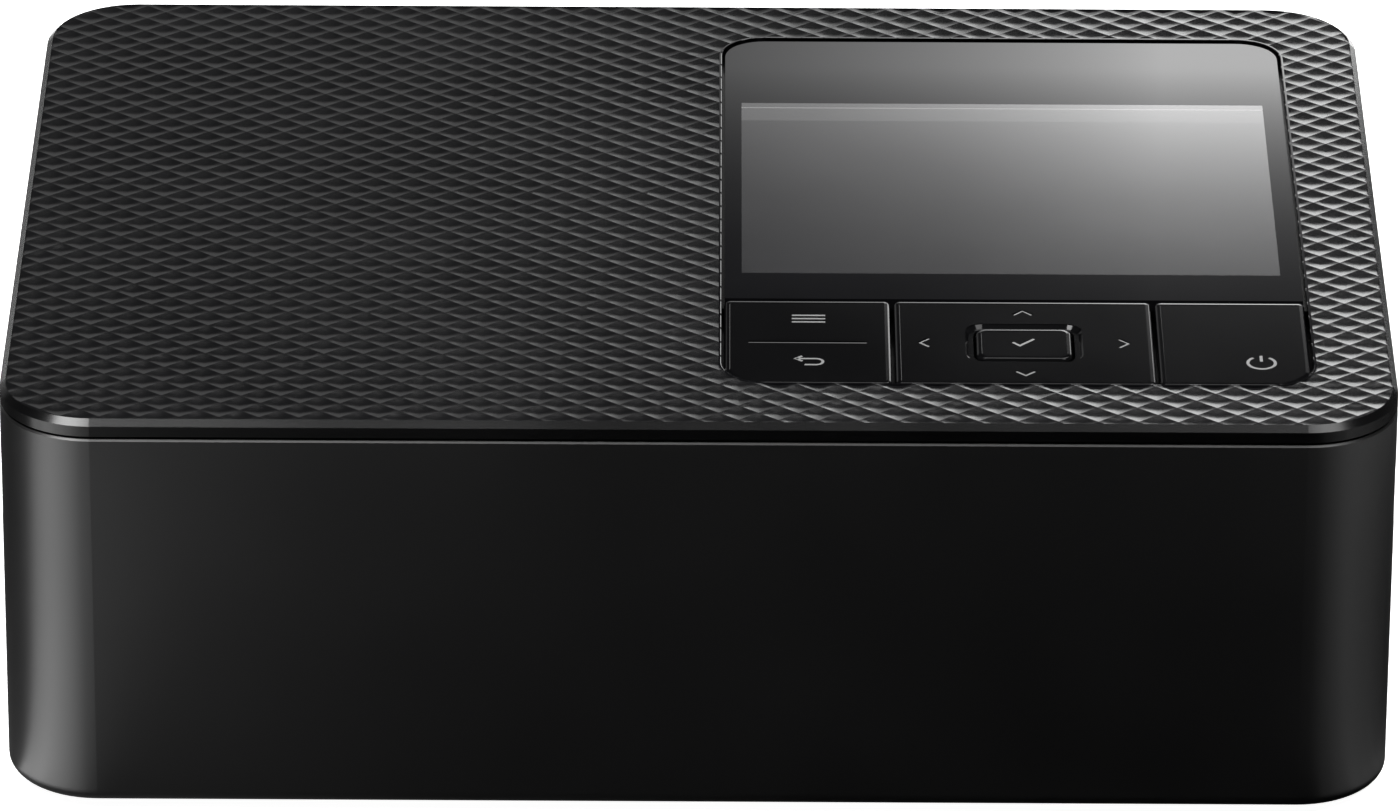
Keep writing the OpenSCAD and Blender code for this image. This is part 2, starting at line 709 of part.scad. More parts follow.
module display_bracket() {
    t = 0.6;
    z = ledge_z - screen_t - t;
    x0 = panel_x0 - 1.7;
    x1 = panel_x1 + 1.7;
    y0 = screen_y - screen_d / 2;
    y1 = screen_y + screen_d / 2;
    color(steel) difference() {
        union() {
            box([x0, y0, z], [x1, y1, z + t]);
            for (x = [x0, x1 - 2.4], y = [y0, y1 - 8])
                box([x, y, z], [x + 2.4, y + 8, ledge_z - ledge_t]);
        }
        box([x0 + 12, y0 + 8, z - 1], [x1 - 12, y1 - 8, z + 1]);
    }
}

module key_board() {
    color(board_green) difference() {
        box([panel_x0 + 2, key_y0 + 0.5, key_pcb_z], [panel_x1 - 2, key_y1 - 0.5, key_pcb_z + pcb_t]);
        box([menu_x1 - 6, key_y0, key_pcb_z - 1], [menu_x1 - 2, key_y0 + 2.5, key_pcb_z + 2]);
    }
}

module tact_switches() {
    color(steel) for (p = stems) translate([p[0], p[1], key_pcb_z + pcb_t]) {
        translate([-2.4, -2.4, 0]) cube([4.8, 4.8, switch_h - 0.6]);
        cylinder(r = 1.2, h = switch_h);
    }
}

// Key top between two x values: bevelled, and cut to the recess where it meets a round corner.
module key_top(x0, x1, z0 = key_z) {
    intersection() {
        translate([(x0 + x1) / 2, key_yc, z0])
            bevelled_slab(x1 - x0, key_d, 0.8, panel_top - z0, key_chamfer);
        linear_extrude(body_h + 1) panel_outline(panel_gap);
    }
}

module stem(at, top = key_z) {
    translate([at[0], at[1], stem_z]) cylinder(r = stem_r, h = top - stem_z + EPS);
}

// Half-round rib, with its flat on top at z = 0, that a key rocks on.
module rocking_rib(l, r) {
    rotate([90, 0, 90]) translate([0, 0, -l / 2]) linear_extrude(l) intersection() {
        circle(r);
        translate([0, -r]) square(2 * r, center = true);
    }
}

module menu_key() {
    groove_w = 0.5;
    rib_r = key_z - shelf_z1 - 0.03;
    color([0.07, 0.07, 0.075]) difference() {
        union() {
            key_top(menu_x0, menu_x1);
            translate([menu_xc, key_yc, key_z + EPS]) rocking_rib(12, rib_r);
            for (i = [0, 1]) stem(stems[i]);
        }
        translate([menu_xc, key_yc, panel_top]) cube([menu_w - 6.2, groove_w, 0.6], center = true);
    }
}

module nav_cradle() {
    color(steel) translate([nav_xc, key_yc, cradle_z]) difference() {
        union() {
            translate([-11.5, -7.5, 0]) cube([23, 15, cradle_t]);
            rotate(90) rocking_rib(15, cradle_rib_r);
        }
        cube([ok_w + 2.1, ok_d + 1.6, 4], center = true);
    }
}

// Arrow mark that points along +X, 3 mm across.
module chevron() {
    polygon([[-0.55, 1.5], [-0.95, 1.05], [0.2, 0], [-0.95, -1.05], [-0.55, -1.5], [0.85, 0]]);
}

module nav_pad() {
    rib_r = key_z - cradle_z - cradle_t - 0.03;
    well_w = ok_w + 2.9;
    well_d = ok_d + 2.3;
    slope = 0.45;
    color([0.07, 0.07, 0.075]) difference() {
        union() {
            key_top(nav_x0, nav_x1);
            translate([nav_xc, key_yc, key_z + EPS]) rocking_rib(22, rib_r);
            for (i = [2 : 5]) stem(stems[i]);
        }
        translate([nav_xc, key_yc, stem_z]) linear_extrude(body_h) round_rect(ok_w + 0.8, ok_d + 0.8, 1.9);
        translate([nav_xc, key_yc, panel_top + EPS]) mirror([0, 0, 1])
            bevelled_slab(well_w, well_d, 2.3, slope + 0.1, slope);
        for (a = [0 : 90 : 270]) {
            out = a % 180 == 0 ? [9.2, 0] : [13.2, 0];
            translate([nav_xc, key_yc, panel_top - 0.3]) rotate(a + 90) translate(out)
                linear_extrude(1) chevron();
        }
    }
}

module ok_key() {
    color([0.07, 0.07, 0.075]) {
        translate([nav_xc, key_yc, key_z - 0.4])
            bevelled_slab(ok_w, ok_d, 1.5, panel_top - key_z + 0.25, key_chamfer);
        stem(stems[6], key_z - 0.4);
    }
}

module power_key() {
    color([0.07, 0.07, 0.075]) {
        key_top(power_x0, power_x1);
        stem(stems[7]);
    }
}

// ---- Electronics and sockets ----

module io_board() {
    color(board_green)
        box([io_x0, frame_y + 2.9, io_z], [right_plate_x - 0.4, card_y + card_w / 2 + 2.3, io_z + pcb_t]);
}

module card_socket() {
    x0 = frame_x - card_depth;
    z0 = io_z + pcb_t;
    w = card_w / 2;
    color(steel) difference() {
        box([x0, card_y - w - 0.8, z0], [inner_x - 0.3, card_y + w + 0.8, z0 + 4.1]);
        box([x0 + 4, card_y - w, z0 + 0.6], [half_w, card_y + w, z0 + 3.6]);
    }
}

module usb_socket() {
    color(steel) {
        difference() {
            usb_outline(half_w - 10.5, half_w - 0.4, 0);
            usb_outline(half_w - 8.5, half_w + 1, -0.4);
        }
        box([half_w - 9, usb_y - 3.2, usb_z - 0.35], [half_w - 1.5, usb_y + 3.2, usb_z + 0.35]);
    }
}

module power_jack() {
    y0 = inner_y - 13;
    color(dark) {
        difference() {
            union() {
                box([jack_x - 5.5, y0, floor_z], [jack_x + 5.5, inner_y - 0.1, jack_z + 5.5]);
                translate([jack_x, inner_y - 1, jack_z]) rotate([-90, 0, 0])
                    cylinder(r = jack_r + 1, h = wall + 0.4);
            }
            translate([jack_x, y0 + 3, jack_z]) rotate([-90, 0, 0]) cylinder(r = jack_r, h = half_d);
        }
        translate([jack_x, y0 + 2.9, jack_z]) rotate([-90, 0, 0]) cylinder(r = 0.85, h = 9);
    }
}

module main_board() {
    color(board_green) box([board_x0, board_y[0], board_z], [board_x1, board_y[1], board_z + pcb_t]);
}

// Processor, memory, power coil, two capacitors lying down and a row of plugs.
module board_parts() {
    z = board_z + pcb_t;
    w = board_x1 - board_x0;
    xc = (board_x0 + board_x1) / 2;
    yc = (board_y[0] + board_y[1]) / 2;
    color([0.1, 0.1, 0.11]) {
        box([xc - 0.23 * w, yc - 8, z], [xc + 0.23 * w, yc + 6, z + 1.4]);
        for (y = [yc - 24, yc + 12]) box([xc - 0.16 * w, y, z], [xc + 0.16 * w, y + 12, z + 1.1]);
        box([board_x0 + 0.07 * w, board_y[1] - 12, z], [xc - 0.15 * w, board_y[1] - 3, z + 4]);
        for (y = [board_y[1] - 14, board_y[1] - 7]) translate([xc, y, z + 2.6]) rotate([0, 90, 0])
            cylinder(r = 2.6, h = 0.35 * w);
        for (y = [board_y[0] + 4 : 11 : board_y[0] + 26])
            box([board_x1 - 0.19 * w, y, z], [board_x1 - 0.03 * w, y + 8, z + 4.5]);
    }
}

// ---- Print unit ----

// Outline of a side plate in the (y, z) plane: a sheet with its upper front corner cut off.
module plate_outline() {
    cut = 9;
    polygon([[plate_y0, plate_z0], [plate_y1, plate_z0], [plate_y1, plate_z1],
             [plate_y0 + cut, plate_z1], [plate_y0, plate_z1 - cut]]);
}

// Upright slot that guides one end of the head carriage.
module head_slot() {
    g = 0.2;
    translate([platen_at[0] - carriage_w / 2 - g, carriage_z - 0.3])
        square([carriage_w + 2 * g, carriage_h + head_lift + 0.6]);
}

module side_plate_holes() {
    for (p = [platen_at, capstan_at, feed_at]) translate(p) circle(bush_r + 0.02);
    translate(pinch_at) circle(pinch_shaft_r + run_gap);
    head_slot();
}

module left_side_plate() {
    color(steel) across(left_plate_x) linear_extrude(plate_t) difference() {
        plate_outline();
        side_plate_holes();
        for (p = [take_up_at, supply_at]) translate(p) circle(hub_r + run_gap);
    }
}

module right_side_plate() {
    g = 0.7;
    color(steel) {
        across(right_plate_x) linear_extrude(plate_t) difference() {
            plate_outline();
            side_plate_holes();
            for (p = [take_up_at, supply_at]) translate(p) circle(housing_r + g);
            translate([take_up_at[0], bridge_z[0] - g])
                square([spool_pitch, bridge_z[1] - bridge_z[0] + 2 * g]);
        }
        bar(right_plate_x + plate_t - EPS, right_plate_x + plate_t + 1.7, lever_at, 1.45);
    }
}

module cross_stays() {
    color(steel) for (p = stay_at) bar(left_plate_x + plate_t, right_plate_x, p, 2);
}

// Lined bushes of the driven rollers, with a flange against the inner face of each plate.
module shaft_bushes() {
    color([0.85, 0.83, 0.75]) for (p = [platen_at, capstan_at, feed_at]) difference() {
        union() {
            bar(left_plate_x - 0.8, left_plate_x + plate_t + EPS, p, bush_r);
            bar(left_plate_x + plate_t, left_plate_x + plate_t + 1, p, bush_r + 0.9);
            bar(right_plate_x - EPS, right_plate_x + plate_t + 0.8, p, bush_r);
            bar(right_plate_x - 1, right_plate_x, p, bush_r + 0.9);
        }
        bar(left_plate_x - 2, right_plate_x + 5, p, shaft_r + run_gap);
    }
}

// Tunnel of the paper bay and the curved ramp that turns the sheet up behind it.
module paper_guide() {
    t = 1.2;
    roof_z = floor_z + bay_h + 0.2;
    y0 = frame_y + 7.3;
    y1 = platen_at[0] - platen_r - 1;
    ramp_r = 20;
    ramp_at = [platen_at[0] + 7, floor_z + ramp_r + t];
    rail_y1 = ramp_at[0] + 0.8 * ramp_r;
    color(dark) {
        box([bay_x0 - 0.5 - t, y0, roof_z], [bay_x1 + 0.5 + t, y1, roof_z + 1]);
        for (x = [bay_x0 - 0.5 - t, bay_x1 + 0.5]) {
            box([x, y0, floor_z], [x + t, y1, roof_z + EPS]);
            box([x, y1 - EPS, floor_z], [x + t, rail_y1, floor_z + 5]);
        }
        across(bay_x0 - 1) linear_extrude(bay_w + 2) translate(ramp_at) intersection() {
            difference() {
                circle(ramp_r + t);
                circle(ramp_r);
            }
            polygon([[0, 0], [0.5, -30], [30, -30], [30, -9]]);
        }
    }
}

// Roller across the unit: a shaft between the given ends and a covered middle.
module roller(at, r, shaft, x0, x1) {
    bar(x0, x1, at, shaft);
    bar(unit_x - sheet_w / 2, unit_x + sheet_w / 2, at, r);
}

module platen_roller() {
    color(dark) roller(platen_at, platen_r, shaft_r, gear_x0 - 0.7, right_plate_x + plate_t + 1.6);
}

module capstan_roller() {
    color(steel) roller(capstan_at, capstan_r, shaft_r, gear_x0 - 0.7, right_plate_x + plate_t + 1.6);
}

module pinch_roller() {
    color(dark) roller(pinch_at, pinch_r, pinch_shaft_r, left_plate_x - 0.6, right_plate_x + plate_t + 0.6);
}

module feed_roller() {
    tyre_w = 14;
    color(dark) {
        bar(gear_x0 - 0.7, right_plate_x + plate_t + 1.6, feed_at, shaft_r);
        for (dx = [-34, 0, 34]) bar(unit_x + dx - tyre_w / 2, unit_x + dx + tyre_w / 2, feed_at, feed_r);
    }
}

module platen_gear() {
    color([0.9, 0.9, 0.86]) gear(gear_x0, platen_at, platen_teeth, platen_turn, shaft_r + 0.02);
}

module capstan_gear() {
    color([0.9, 0.9, 0.86]) gear(gear_x0, capstan_at, capstan_teeth, capstan_turn, shaft_r + 0.02);
}

module feed_gear() {
    color([0.9, 0.9, 0.86]) gear(gear_x0, feed_at, feed_teeth, feed_turn, shaft_r + 0.02);
}

module idler_studs() {
    color(steel) {
        bar(bracket_x + plate_t, left_plate_x, idler_at, shaft_r);
        bar(gear_x0 - 0.6, left_plate_x, ribbon_idler_at, shaft_r);
    }
}

// Two wheels on one hub: the large one meets the motor pinion, the small one both rollers' gears.
module drive_idler() {
    bore = shaft_r + run_gap;
    color([0.9, 0.9, 0.86]) {
        gear(gear_x0, idler_at, idler_teeth, idler_turn, bore);
        gear(wheel_x0, idler_at, wheel_teeth, idler_turn, bore);
        difference() {
            bar(wheel_x1 - EPS, gear_x0 + EPS, idler_at, 5);
            bar(wheel_x0, gear_x1, idler_at, bore);
        }
    }
}

module ribbon_idler() {
    color([0.9, 0.9, 0.86])
        gear(gear_x0, ribbon_idler_at, ribbon_idler_teeth, ribbon_idler_turn, shaft_r + run_gap);
}

module take_up_gear() {
    color([0.9, 0.9, 0.86]) gear(gear_x0, take_up_at, take_up_teeth, take_up_turn, hub_r + run_gap);
}

// Driving hub: a journal in the side plate, a flange and three dogs that enter the spool.
module spool_hub(at) {
    inside = left_plate_x + plate_t;
    bar(gear_x0 - 0.7, inside + 0.4, at, hub_r);
    bar(inside + 0.3, inside + 1.6, at, 4);
    bar(inside + 1.5, ribbon_x0 + hub_depth, at, hub_r - 0.4);
    for (a = [0, 120, 240]) across(inside + 1.5, at) rotate(a)
        translate([0, -0.5, 0]) cube([hub_r + 0.5, 1, ribbon_x0 + hub_depth - inside - 2.5]);
}

module take_up_hub() {
    color([0.9, 0.9, 0.86]) spool_hub(take_up_at);
}

module supply_hub() {
    color([0.9, 0.9, 0.86]) spool_hub(supply_at);
}

// Ribbon spool: a core with journals and the wound ribbon on it.
module spool(at, roll_r) {
    x0 = ribbon_x0 + 1.7;
    x1 = ribbon_x1 - 1.7;
    difference() {
        union() {
            bar(x0, x1, at, core_r);
            bar(x1 - EPS, ribbon_x1 - 0.2, at, hub_r);
            bar(unit_x - sheet_w / 2, unit_x + sheet_w / 2, at, roll_r);
        }
        bar(x0 - 1, ribbon_x0 + hub_depth + 1, at, hub_r - 0.3);
        for (a = [0, 120, 240]) across(x0 - 1, at) rotate(a)
            translate([0, -0.65, 0]) cube([hub_r + 0.7, 1.3, hub_depth - 0.7]);
    }
}

module take_up_spool() {
    color([0.35, 0.3, 0.33]) spool(take_up_at, take_up_r);
}

module supply_spool() {
    color([0.45, 0.3, 0.4]) spool(supply_at, supply_r);
}

// Housing of the ribbon: two tubes, joined at both ends, open where the film leaves and enters.
module ribbon_cassette() {
    cap = 1.4;
    film_x0 = unit_x - sheet_w / 2 - 2;
    film_x1 = unit_x + sheet_w / 2 + 2;
    color([0.75, 0.76, 0.78]) difference() {
        union() {
            for (p = [take_up_at, supply_at]) bar(ribbon_x0, ribbon_x1, p, housing_r);
            for (x = [ribbon_x0, ribbon_x1 - 2])
                box([x, take_up_at[0], bridge_z[0]], [x + 2, supply_at[0], bridge_z[1]]);
            for (y = guide_y) bar(ribbon_x0 + 1, ribbon_x1 - 1, [y, guide_z], 0.8);
        }
        for (p = [take_up_at, supply_at]) {
            bar(ribbon_x0 + cap, ribbon_x1 - cap, p, housing_r - housing_t);
            bar(ribbon_x0 - 1, ribbon_x0 + 3, p, core_r + 0.4);
            bar(ribbon_x1 - 3, ribbon_x1 + 1, p, hub_r + run_gap);
        }
        box([film_x0, take_up_at[0] + 5.5, spool_z - mouth_h],
            [film_x1, take_up_at[0] + housing_r + 1, spool_z]);
        box([film_x0, supply_at[0] - housing_r - 1, spool_z - mouth_h],
            [film_x1, supply_at[0] - 5.5, spool_z + 1]);
    }
}

// Point where a line from p touches a roll round c.
function touch(c, r, p, s) =
    let (d = p - c, a = atan2(d[1], d[0]) + s * acos(r / norm(d)))
    c + r * [cos(a), sin(a)];

module ribbon_film() {
    t = 0.12;
    low_z = path_z + 0.4;
    side = [for (i = [0, 1]) [guide_y[i] - (i == 0 ? 1 : -1), guide_z - 0.2]];
    under = [for (i = [0, 1]) [guide_y[i] - (i == 0 ? 0.3 : -0.3), guide_z - 0.95]];
    path = [touch(take_up_at, take_up_r + 0.15, side[0], 1), side[0], under[0],
            [platen_at[0] - 5.6, low_z], [platen_at[0] + 5.6, low_z],
            under[1], side[1], touch(supply_at, supply_r + 0.15, side[1], -1)];
    last = len(path) - 1;
    color([0.5, 0.3, 0.42]) across(unit_x - sheet_w / 2) linear_extrude(sheet_w)
        polygon(concat(path, [for (i = [last : -1 : 0])
            path[i] - [i < 2 ? 0.1 : i > last - 2 ? -0.1 : 0, t]]));
}

module print_head() {
    color([0.92, 0.9, 0.86]) {
        box([unit_x - sheet_w / 2, platen_at[0] - 5, head_z],
            [unit_x + sheet_w / 2, platen_at[0] + 5, head_z + 1.2]);
        box([unit_x - sheet_w / 2 + 1, platen_at[0] - 0.6, head_z - 0.25],
            [unit_x + sheet_w / 2 - 1, platen_at[0] + 0.6, head_z + EPS]);
    }
}

module head_heatsink() {
    w = sheet_w / 2;
    y = platen_at[0];
    z0 = head_z + 1.2;
    color([0.8, 0.81, 0.83]) difference() {
        box([unit_x - w, y - 6.5, z0], [unit_x + w, y + 6.5, carriage_z - 1.5]);
        for (i = [0 : 2], s = [-1, 1])
            box([unit_x - w - 1, y + (s < 0 ? -7 : 2.5), z0 + 1.8 + 2.6 * i],
                [unit_x + w + 1, y + (s < 0 ? -2.5 : 7), z0 + 3 + 2.6 * i]);
    }
}

module head_carriage() {
    y = platen_at[0];
    color(steel) {
        box([unit_x - sheet_w / 2, y - 7.5, carriage_z - 1.5],
            [unit_x + sheet_w / 2, y + 7.5, carriage_z + EPS]);
        box([left_plate_x - 0.7, y - carriage_w / 2, carriage_z],
            [right_plate_x + plate_t + 0.7, y + carriage_w / 2, carriage_z + carriage_h]);
    }
}

module motor_bracket() {
    z0 = plate_z0 + 2.3;
    z1 = spool_z + 9.5;
    color(steel) {
        across(bracket_x) linear_extrude(plate_t) difference() {
            polygon([[bracket_y0, z0], [plate_y1, z0], [plate_y1, z1 - 4.5],
                     [bracket_y0 + 12, z1], [bracket_y0, z1]]);
            translate(motor_at) circle(5);
            translate(idler_at) circle(shaft_r - 0.5);
        }
        for (p = bracket_post_at) bar(bracket_x + plate_t - EPS, left_plate_x, p, 2.4);
    }
}

module drive_motor() {
    color([0.65, 0.66, 0.68]) difference() {
        union() {
            bar(bracket_x - motor_l, bracket_x, motor_at, motor_r);
            bar(bracket_x - EPS, bracket_x + 0.9, motor_at, 4.9);
            bar(bracket_x - motor_l - 1.5, bracket_x - motor_l + EPS, motor_at, 4);
        }
        bar(bracket_x - motor_bore, bracket_x + 2, motor_at, 1 + run_gap);
    }
}

module motor_pinion() {
    color(steel) {
        bar(bracket_x - motor_bore + 0.5, wheel_x1, motor_at, 1);
        gear(wheel_x0, motor_at, pinion_teeth, pinion_turn, 0.9);
    }
}

// Sprung catch that holds the ribbon cassette in; it swings up about a stud on the side plate.
module cassette_lever() {
    x = right_plate_x + plate_t + 0.3;
    t = 1.2;
    color([0.85, 0.85, 0.87]) difference() {
        union() {
            bar(x, x + t, lever_at, 3);
            box([x, lever_at[0], lever_at[1] - 1.6], [x + t, lever_at[0] + lever_l, lever_at[1] + 1.6]);
            box([x, lever_at[0] + lever_l - 3, lever_at[1] - 4.5], [x + t, lever_at[0] + lever_l, lever_at[1]]);
        }
        bar(x - 1, x + t + 1, lever_at, 1.45 + run_gap);
    }
}

base_pan();
body_shell();
front_frame();
top_cover();
rubber_feet();
case_screws();
front_cover();
front_hinge_pins();
ink_door();
ink_door_pin();
display_window();
display_module();
display_bracket();
key_board();
tact_switches();
menu_key();
nav_cradle();
nav_pad();
ok_key();
power_key();
io_board();
card_socket();
usb_socket();
power_jack();
main_board();
board_parts();
left_side_plate();
right_side_plate();
cross_stays();
paper_guide();
shaft_bushes();
platen_roller();
platen_gear();
capstan_roller();
capstan_gear();
pinch_roller();
feed_roller();
feed_gear();
idler_studs();
drive_idler();
ribbon_idler();
take_up_gear();
take_up_hub();
take_up_spool();
supply_hub();
supply_spool();
ribbon_film();
ribbon_cassette();
print_head();
head_heatsink();
head_carriage();
motor_bracket();
drive_motor();
motor_pinion();
cassette_lever();
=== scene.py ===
# %% [markdown]
# # A compact photo printer
# The printer is a low black box. Its solid shapes come from a CAD model, and this script gives
# them their finishes, adds what is too fine for the CAD model, and lights the whole in a small
# white studio. The first cell loads the CAD pieces. From then on every length is in metres.

# %% Load the printer
import math

import bmesh
import bpy
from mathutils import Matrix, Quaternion, Vector


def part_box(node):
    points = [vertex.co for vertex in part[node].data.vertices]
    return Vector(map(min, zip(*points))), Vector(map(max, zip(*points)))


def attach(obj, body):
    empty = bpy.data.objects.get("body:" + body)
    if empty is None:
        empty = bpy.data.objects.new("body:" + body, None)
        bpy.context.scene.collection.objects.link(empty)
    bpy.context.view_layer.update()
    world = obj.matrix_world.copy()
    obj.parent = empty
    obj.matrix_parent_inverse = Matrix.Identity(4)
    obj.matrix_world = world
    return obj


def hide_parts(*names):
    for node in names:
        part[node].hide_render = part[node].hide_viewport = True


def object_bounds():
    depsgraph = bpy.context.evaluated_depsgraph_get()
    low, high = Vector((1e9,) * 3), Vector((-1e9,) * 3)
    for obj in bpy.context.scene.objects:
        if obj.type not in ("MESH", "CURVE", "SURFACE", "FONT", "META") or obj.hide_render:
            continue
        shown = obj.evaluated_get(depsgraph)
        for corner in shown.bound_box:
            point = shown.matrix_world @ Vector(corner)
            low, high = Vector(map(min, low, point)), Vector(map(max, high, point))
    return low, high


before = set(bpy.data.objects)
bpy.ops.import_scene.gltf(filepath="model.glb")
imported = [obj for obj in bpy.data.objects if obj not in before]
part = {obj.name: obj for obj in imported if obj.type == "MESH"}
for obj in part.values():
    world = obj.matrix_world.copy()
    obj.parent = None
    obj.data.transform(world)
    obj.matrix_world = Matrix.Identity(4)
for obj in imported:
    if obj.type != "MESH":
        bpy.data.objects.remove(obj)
cad_low, cad_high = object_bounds()
MM = 0.001
print(len(part), "pieces,", [round(s / MM, 1) for s in cad_high - cad_low], "mm")

# %% [markdown]
# ## The camera
# The photograph was taken from far away with a long lens, so upright edges stay nearly parallel.
# The camera looks down at the printer, almost straight at its front. Its place is worked out from
# the point that it looks at, its distance and its angles, which keeps the numbers easy to read.
# Only the lens and the sensor are in millimetres, because Blender asks for them that way.

# %% Place the camera
LOOK_AT = Vector((0.12, -4.81, 30.0)) * MM
DISTANCE = 1449.7 * MM
LOOK_DOWN = math.radians(26.174)
LOOK_RIGHT = math.radians(-0.046)
ROLL = math.radians(0.282)
SENSOR_WIDTH = 36.0
FOCAL_LENGTH = 275.16
FARTHEST_SEEN = 20.0

camera = bpy.data.objects.new("camera", bpy.data.cameras.new("camera"))
bpy.context.scene.collection.objects.link(camera)
bpy.context.scene.camera = camera
camera.data.sensor_width = SENSOR_WIDTH
camera.data.lens = FOCAL_LENGTH
camera.data.clip_end = FARTHEST_SEEN

ahead = Vector((math.sin(LOOK_RIGHT) * math.cos(LOOK_DOWN),
                math.cos(LOOK_RIGHT) * math.cos(LOOK_DOWN),
                -math.sin(LOOK_DOWN)))
camera.location = LOOK_AT - ahead * DISTANCE
camera.rotation_mode = "QUATERNION"
camera.rotation_quaternion = Quaternion(-ahead, ROLL) @ ahead.to_track_quat("-Z", "Y")
print("camera at", [round(c / MM) for c in camera.location], "mm")

# %% [markdown]
# ## Moulded plastic
# Nearly everything outside is black plastic. A steel mould leaves its own fine grain on plastic,
# and the grain breaks up a reflection before the eye can see the grain itself. One noise texture
# gives that grain as a bump. Two much coarser ones let the colour and the gloss drift a little
# from place to place, as handling and uneven cooling do. All read the object's own coordinates, so
# they stay put when a cover opens.

# %% Helpers for noise
NOISE_RANGE = (0.3, 0.7)


def new_material(name):
    """An empty node material with one Principled shader, ready to be wired."""
    made = bpy.data.materials.new(name)
    made.use_nodes = True
    nodes = made.node_tree.nodes
    shader = next(n for n in nodes if n.type == "BSDF_PRINCIPLED")
    return made, nodes, made.node_tree.links, shader


def object_noise(nodes, links, size, stretch=(1, 1, 1), detail=3.0):
    """Noise with features of about the given size, in metres, on the object's own coordinates."""
    place = nodes.new("ShaderNodeTexCoord")
    mapping = nodes.new("ShaderNodeMapping")
    mapping.inputs["Scale"].default_value = [s / size for s in stretch]
    noise = nodes.new("ShaderNodeTexNoise")
    noise.inputs["Scale"].default_value = 1.0
    noise.inputs["Detail"].default_value = detail
    links.new(place.outputs["Object"], mapping.inputs["Vector"])
    links.new(mapping.outputs["Vector"], noise.inputs["Vector"])
    return noise.outputs["Fac"]


def spread(nodes, links, value, low, high):
    """Maps the values that noise mostly has onto the range from low to high."""
    reach = nodes.new("ShaderNodeMapRange")
    reach.inputs["From Min"].default_value = NOISE_RANGE[0]
    reach.inputs["From Max"].default_value = NOISE_RANGE[1]
    reach.inputs["To Min"].default_value = low
    reach.inputs["To Max"].default_value = high
    links.new(value, reach.inputs["Value"])
    return reach.outputs["Result"]


print("noise values between", NOISE_RANGE[0], "and", NOISE_RANGE[1], "are spread out")

# %% [markdown]
# Three more helpers use that noise: one for the grain, one for the colour and one for the gloss.

# %% Helpers for grain, colour and gloss
def add_grain(nodes, links, shader, size, depth, stretch=(1, 1, 1)):
    """Bump of the given grain size and depth, in metres."""
    bump = nodes.new("ShaderNodeBump")
    bump.inputs["Strength"].default_value = 1.0
    bump.inputs["Distance"].default_value = depth
    links.new(object_noise(nodes, links, size, stretch), bump.inputs["Height"])
    links.new(bump.outputs["Normal"], shader.inputs["Normal"])


def tint(nodes, links, shader, size, dark, light, stretch=(1, 1, 1)):
    """Base colour that drifts between two colours over patches of the given size."""
    mix = nodes.new("ShaderNodeMix")
    mix.data_type = "RGBA"
    mix.inputs["A"].default_value = (*dark, 1)
    mix.inputs["B"].default_value = (*light, 1)
    noise = object_noise(nodes, links, size, stretch)
    links.new(spread(nodes, links, noise, 0, 1), mix.inputs["Factor"])
    links.new(mix.outputs["Result"], shader.inputs["Base Color"])


def drift_gloss(nodes, links, shader, size, gloss, stretch=(1, 1, 1)):
    """Roughness that drifts over the range gloss, smooth to rough, in patches of the given size."""
    noise = object_noise(nodes, links, size, stretch)
    links.new(spread(nodes, links, noise, *gloss), shader.inputs["Roughness"])


print("grain, colour and gloss ready")

# %% [markdown]
# Each plastic is then one line: its name, its colour, and how smooth and how rough it gets. Grain
# and depth are the size and the height of its grain, and specular is how strongly it mirrors. The
# lighter shade of a colour is a third brighter, and a trace more, so that even deep black drifts.

# %% Plastics and a ceramic
TINT_PATCH = 18 * MM
GLOSS_PATCH = 25 * MM


def moulded(name, colour, gloss, grain=0.25 * MM, depth=0.002 * MM, specular=0.5):
    """Moulded plastic: gloss is the range of its roughness, smooth to rough."""
    made, nodes, links, shader = new_material(name)
    lighter = [c * 1.3 + 0.0003 for c in colour]
    tint(nodes, links, shader, TINT_PATCH, colour, lighter)
    shader.inputs["Specular IOR Level"].default_value = specular
    drift_gloss(nodes, links, shader, GLOSS_PATCH, gloss)
    add_grain(nodes, links, shader, grain, depth)
    return made


case_black = moulded("case_black", (0.0009, 0.0009, 0.001), (0.36, 0.4), depth=0.001 * MM)
relief_black = moulded("relief_black", (0.003, 0.003, 0.0033), (0.22, 0.26), depth=0.001 * MM,
                       specular=0.26)
# The skirt is the same plastic as the lattice, painted ten times darker: painted shade on its edge.
skirt_painted_shade_black = moulded("skirt_painted_shade_black", (0.0003, 0.0003, 0.0004), (0.2, 0.24), depth=0.0005 * MM,
                      specular=0.3)
key_black = moulded("key_black", (0.0015, 0.0015, 0.0017), (0.1, 0.12), depth=0.0003 * MM,
                    specular=0.165)
inner_black = moulded("inner_black", (0.018, 0.018, 0.02), (0.45, 0.55), 0.5 * MM, 0.006 * MM)
cassette_grey = moulded("cassette_grey", (0.36, 0.37, 0.39), (0.38, 0.46), 0.4 * MM, 0.004 * MM)
acetal = moulded("acetal_white", (0.66, 0.65, 0.58), (0.34, 0.4), 0.6 * MM, 0.003 * MM)
epoxy = moulded("chip_epoxy", (0.016, 0.016, 0.018), (0.5, 0.6), 0.12 * MM, 0.004 * MM)
ceramic = moulded("glazed_ceramic", (0.62, 0.6, 0.54), (0.15, 0.25), 0.8 * MM, 0.002 * MM)
plastics = (case_black, relief_black, skirt_painted_shade_black, key_black, inner_black, cassette_grey, acetal,
            epoxy)
print("plastics:", [m.name for m in plastics], "and", ceramic.name)

# %% [markdown]
# ## Rubber, metal and circuit board
# Rubber is darker and rougher than plastic, with a powdery sheen at a shallow angle. Rolled and
# ground metal has its scratches all in one direction, so its noise is drawn out along that
# direction: the smaller the stretch on an axis, the longer the lines along it. The paper is pulled
# by a steel roller with fine spikes, which is rough the same in every direction.

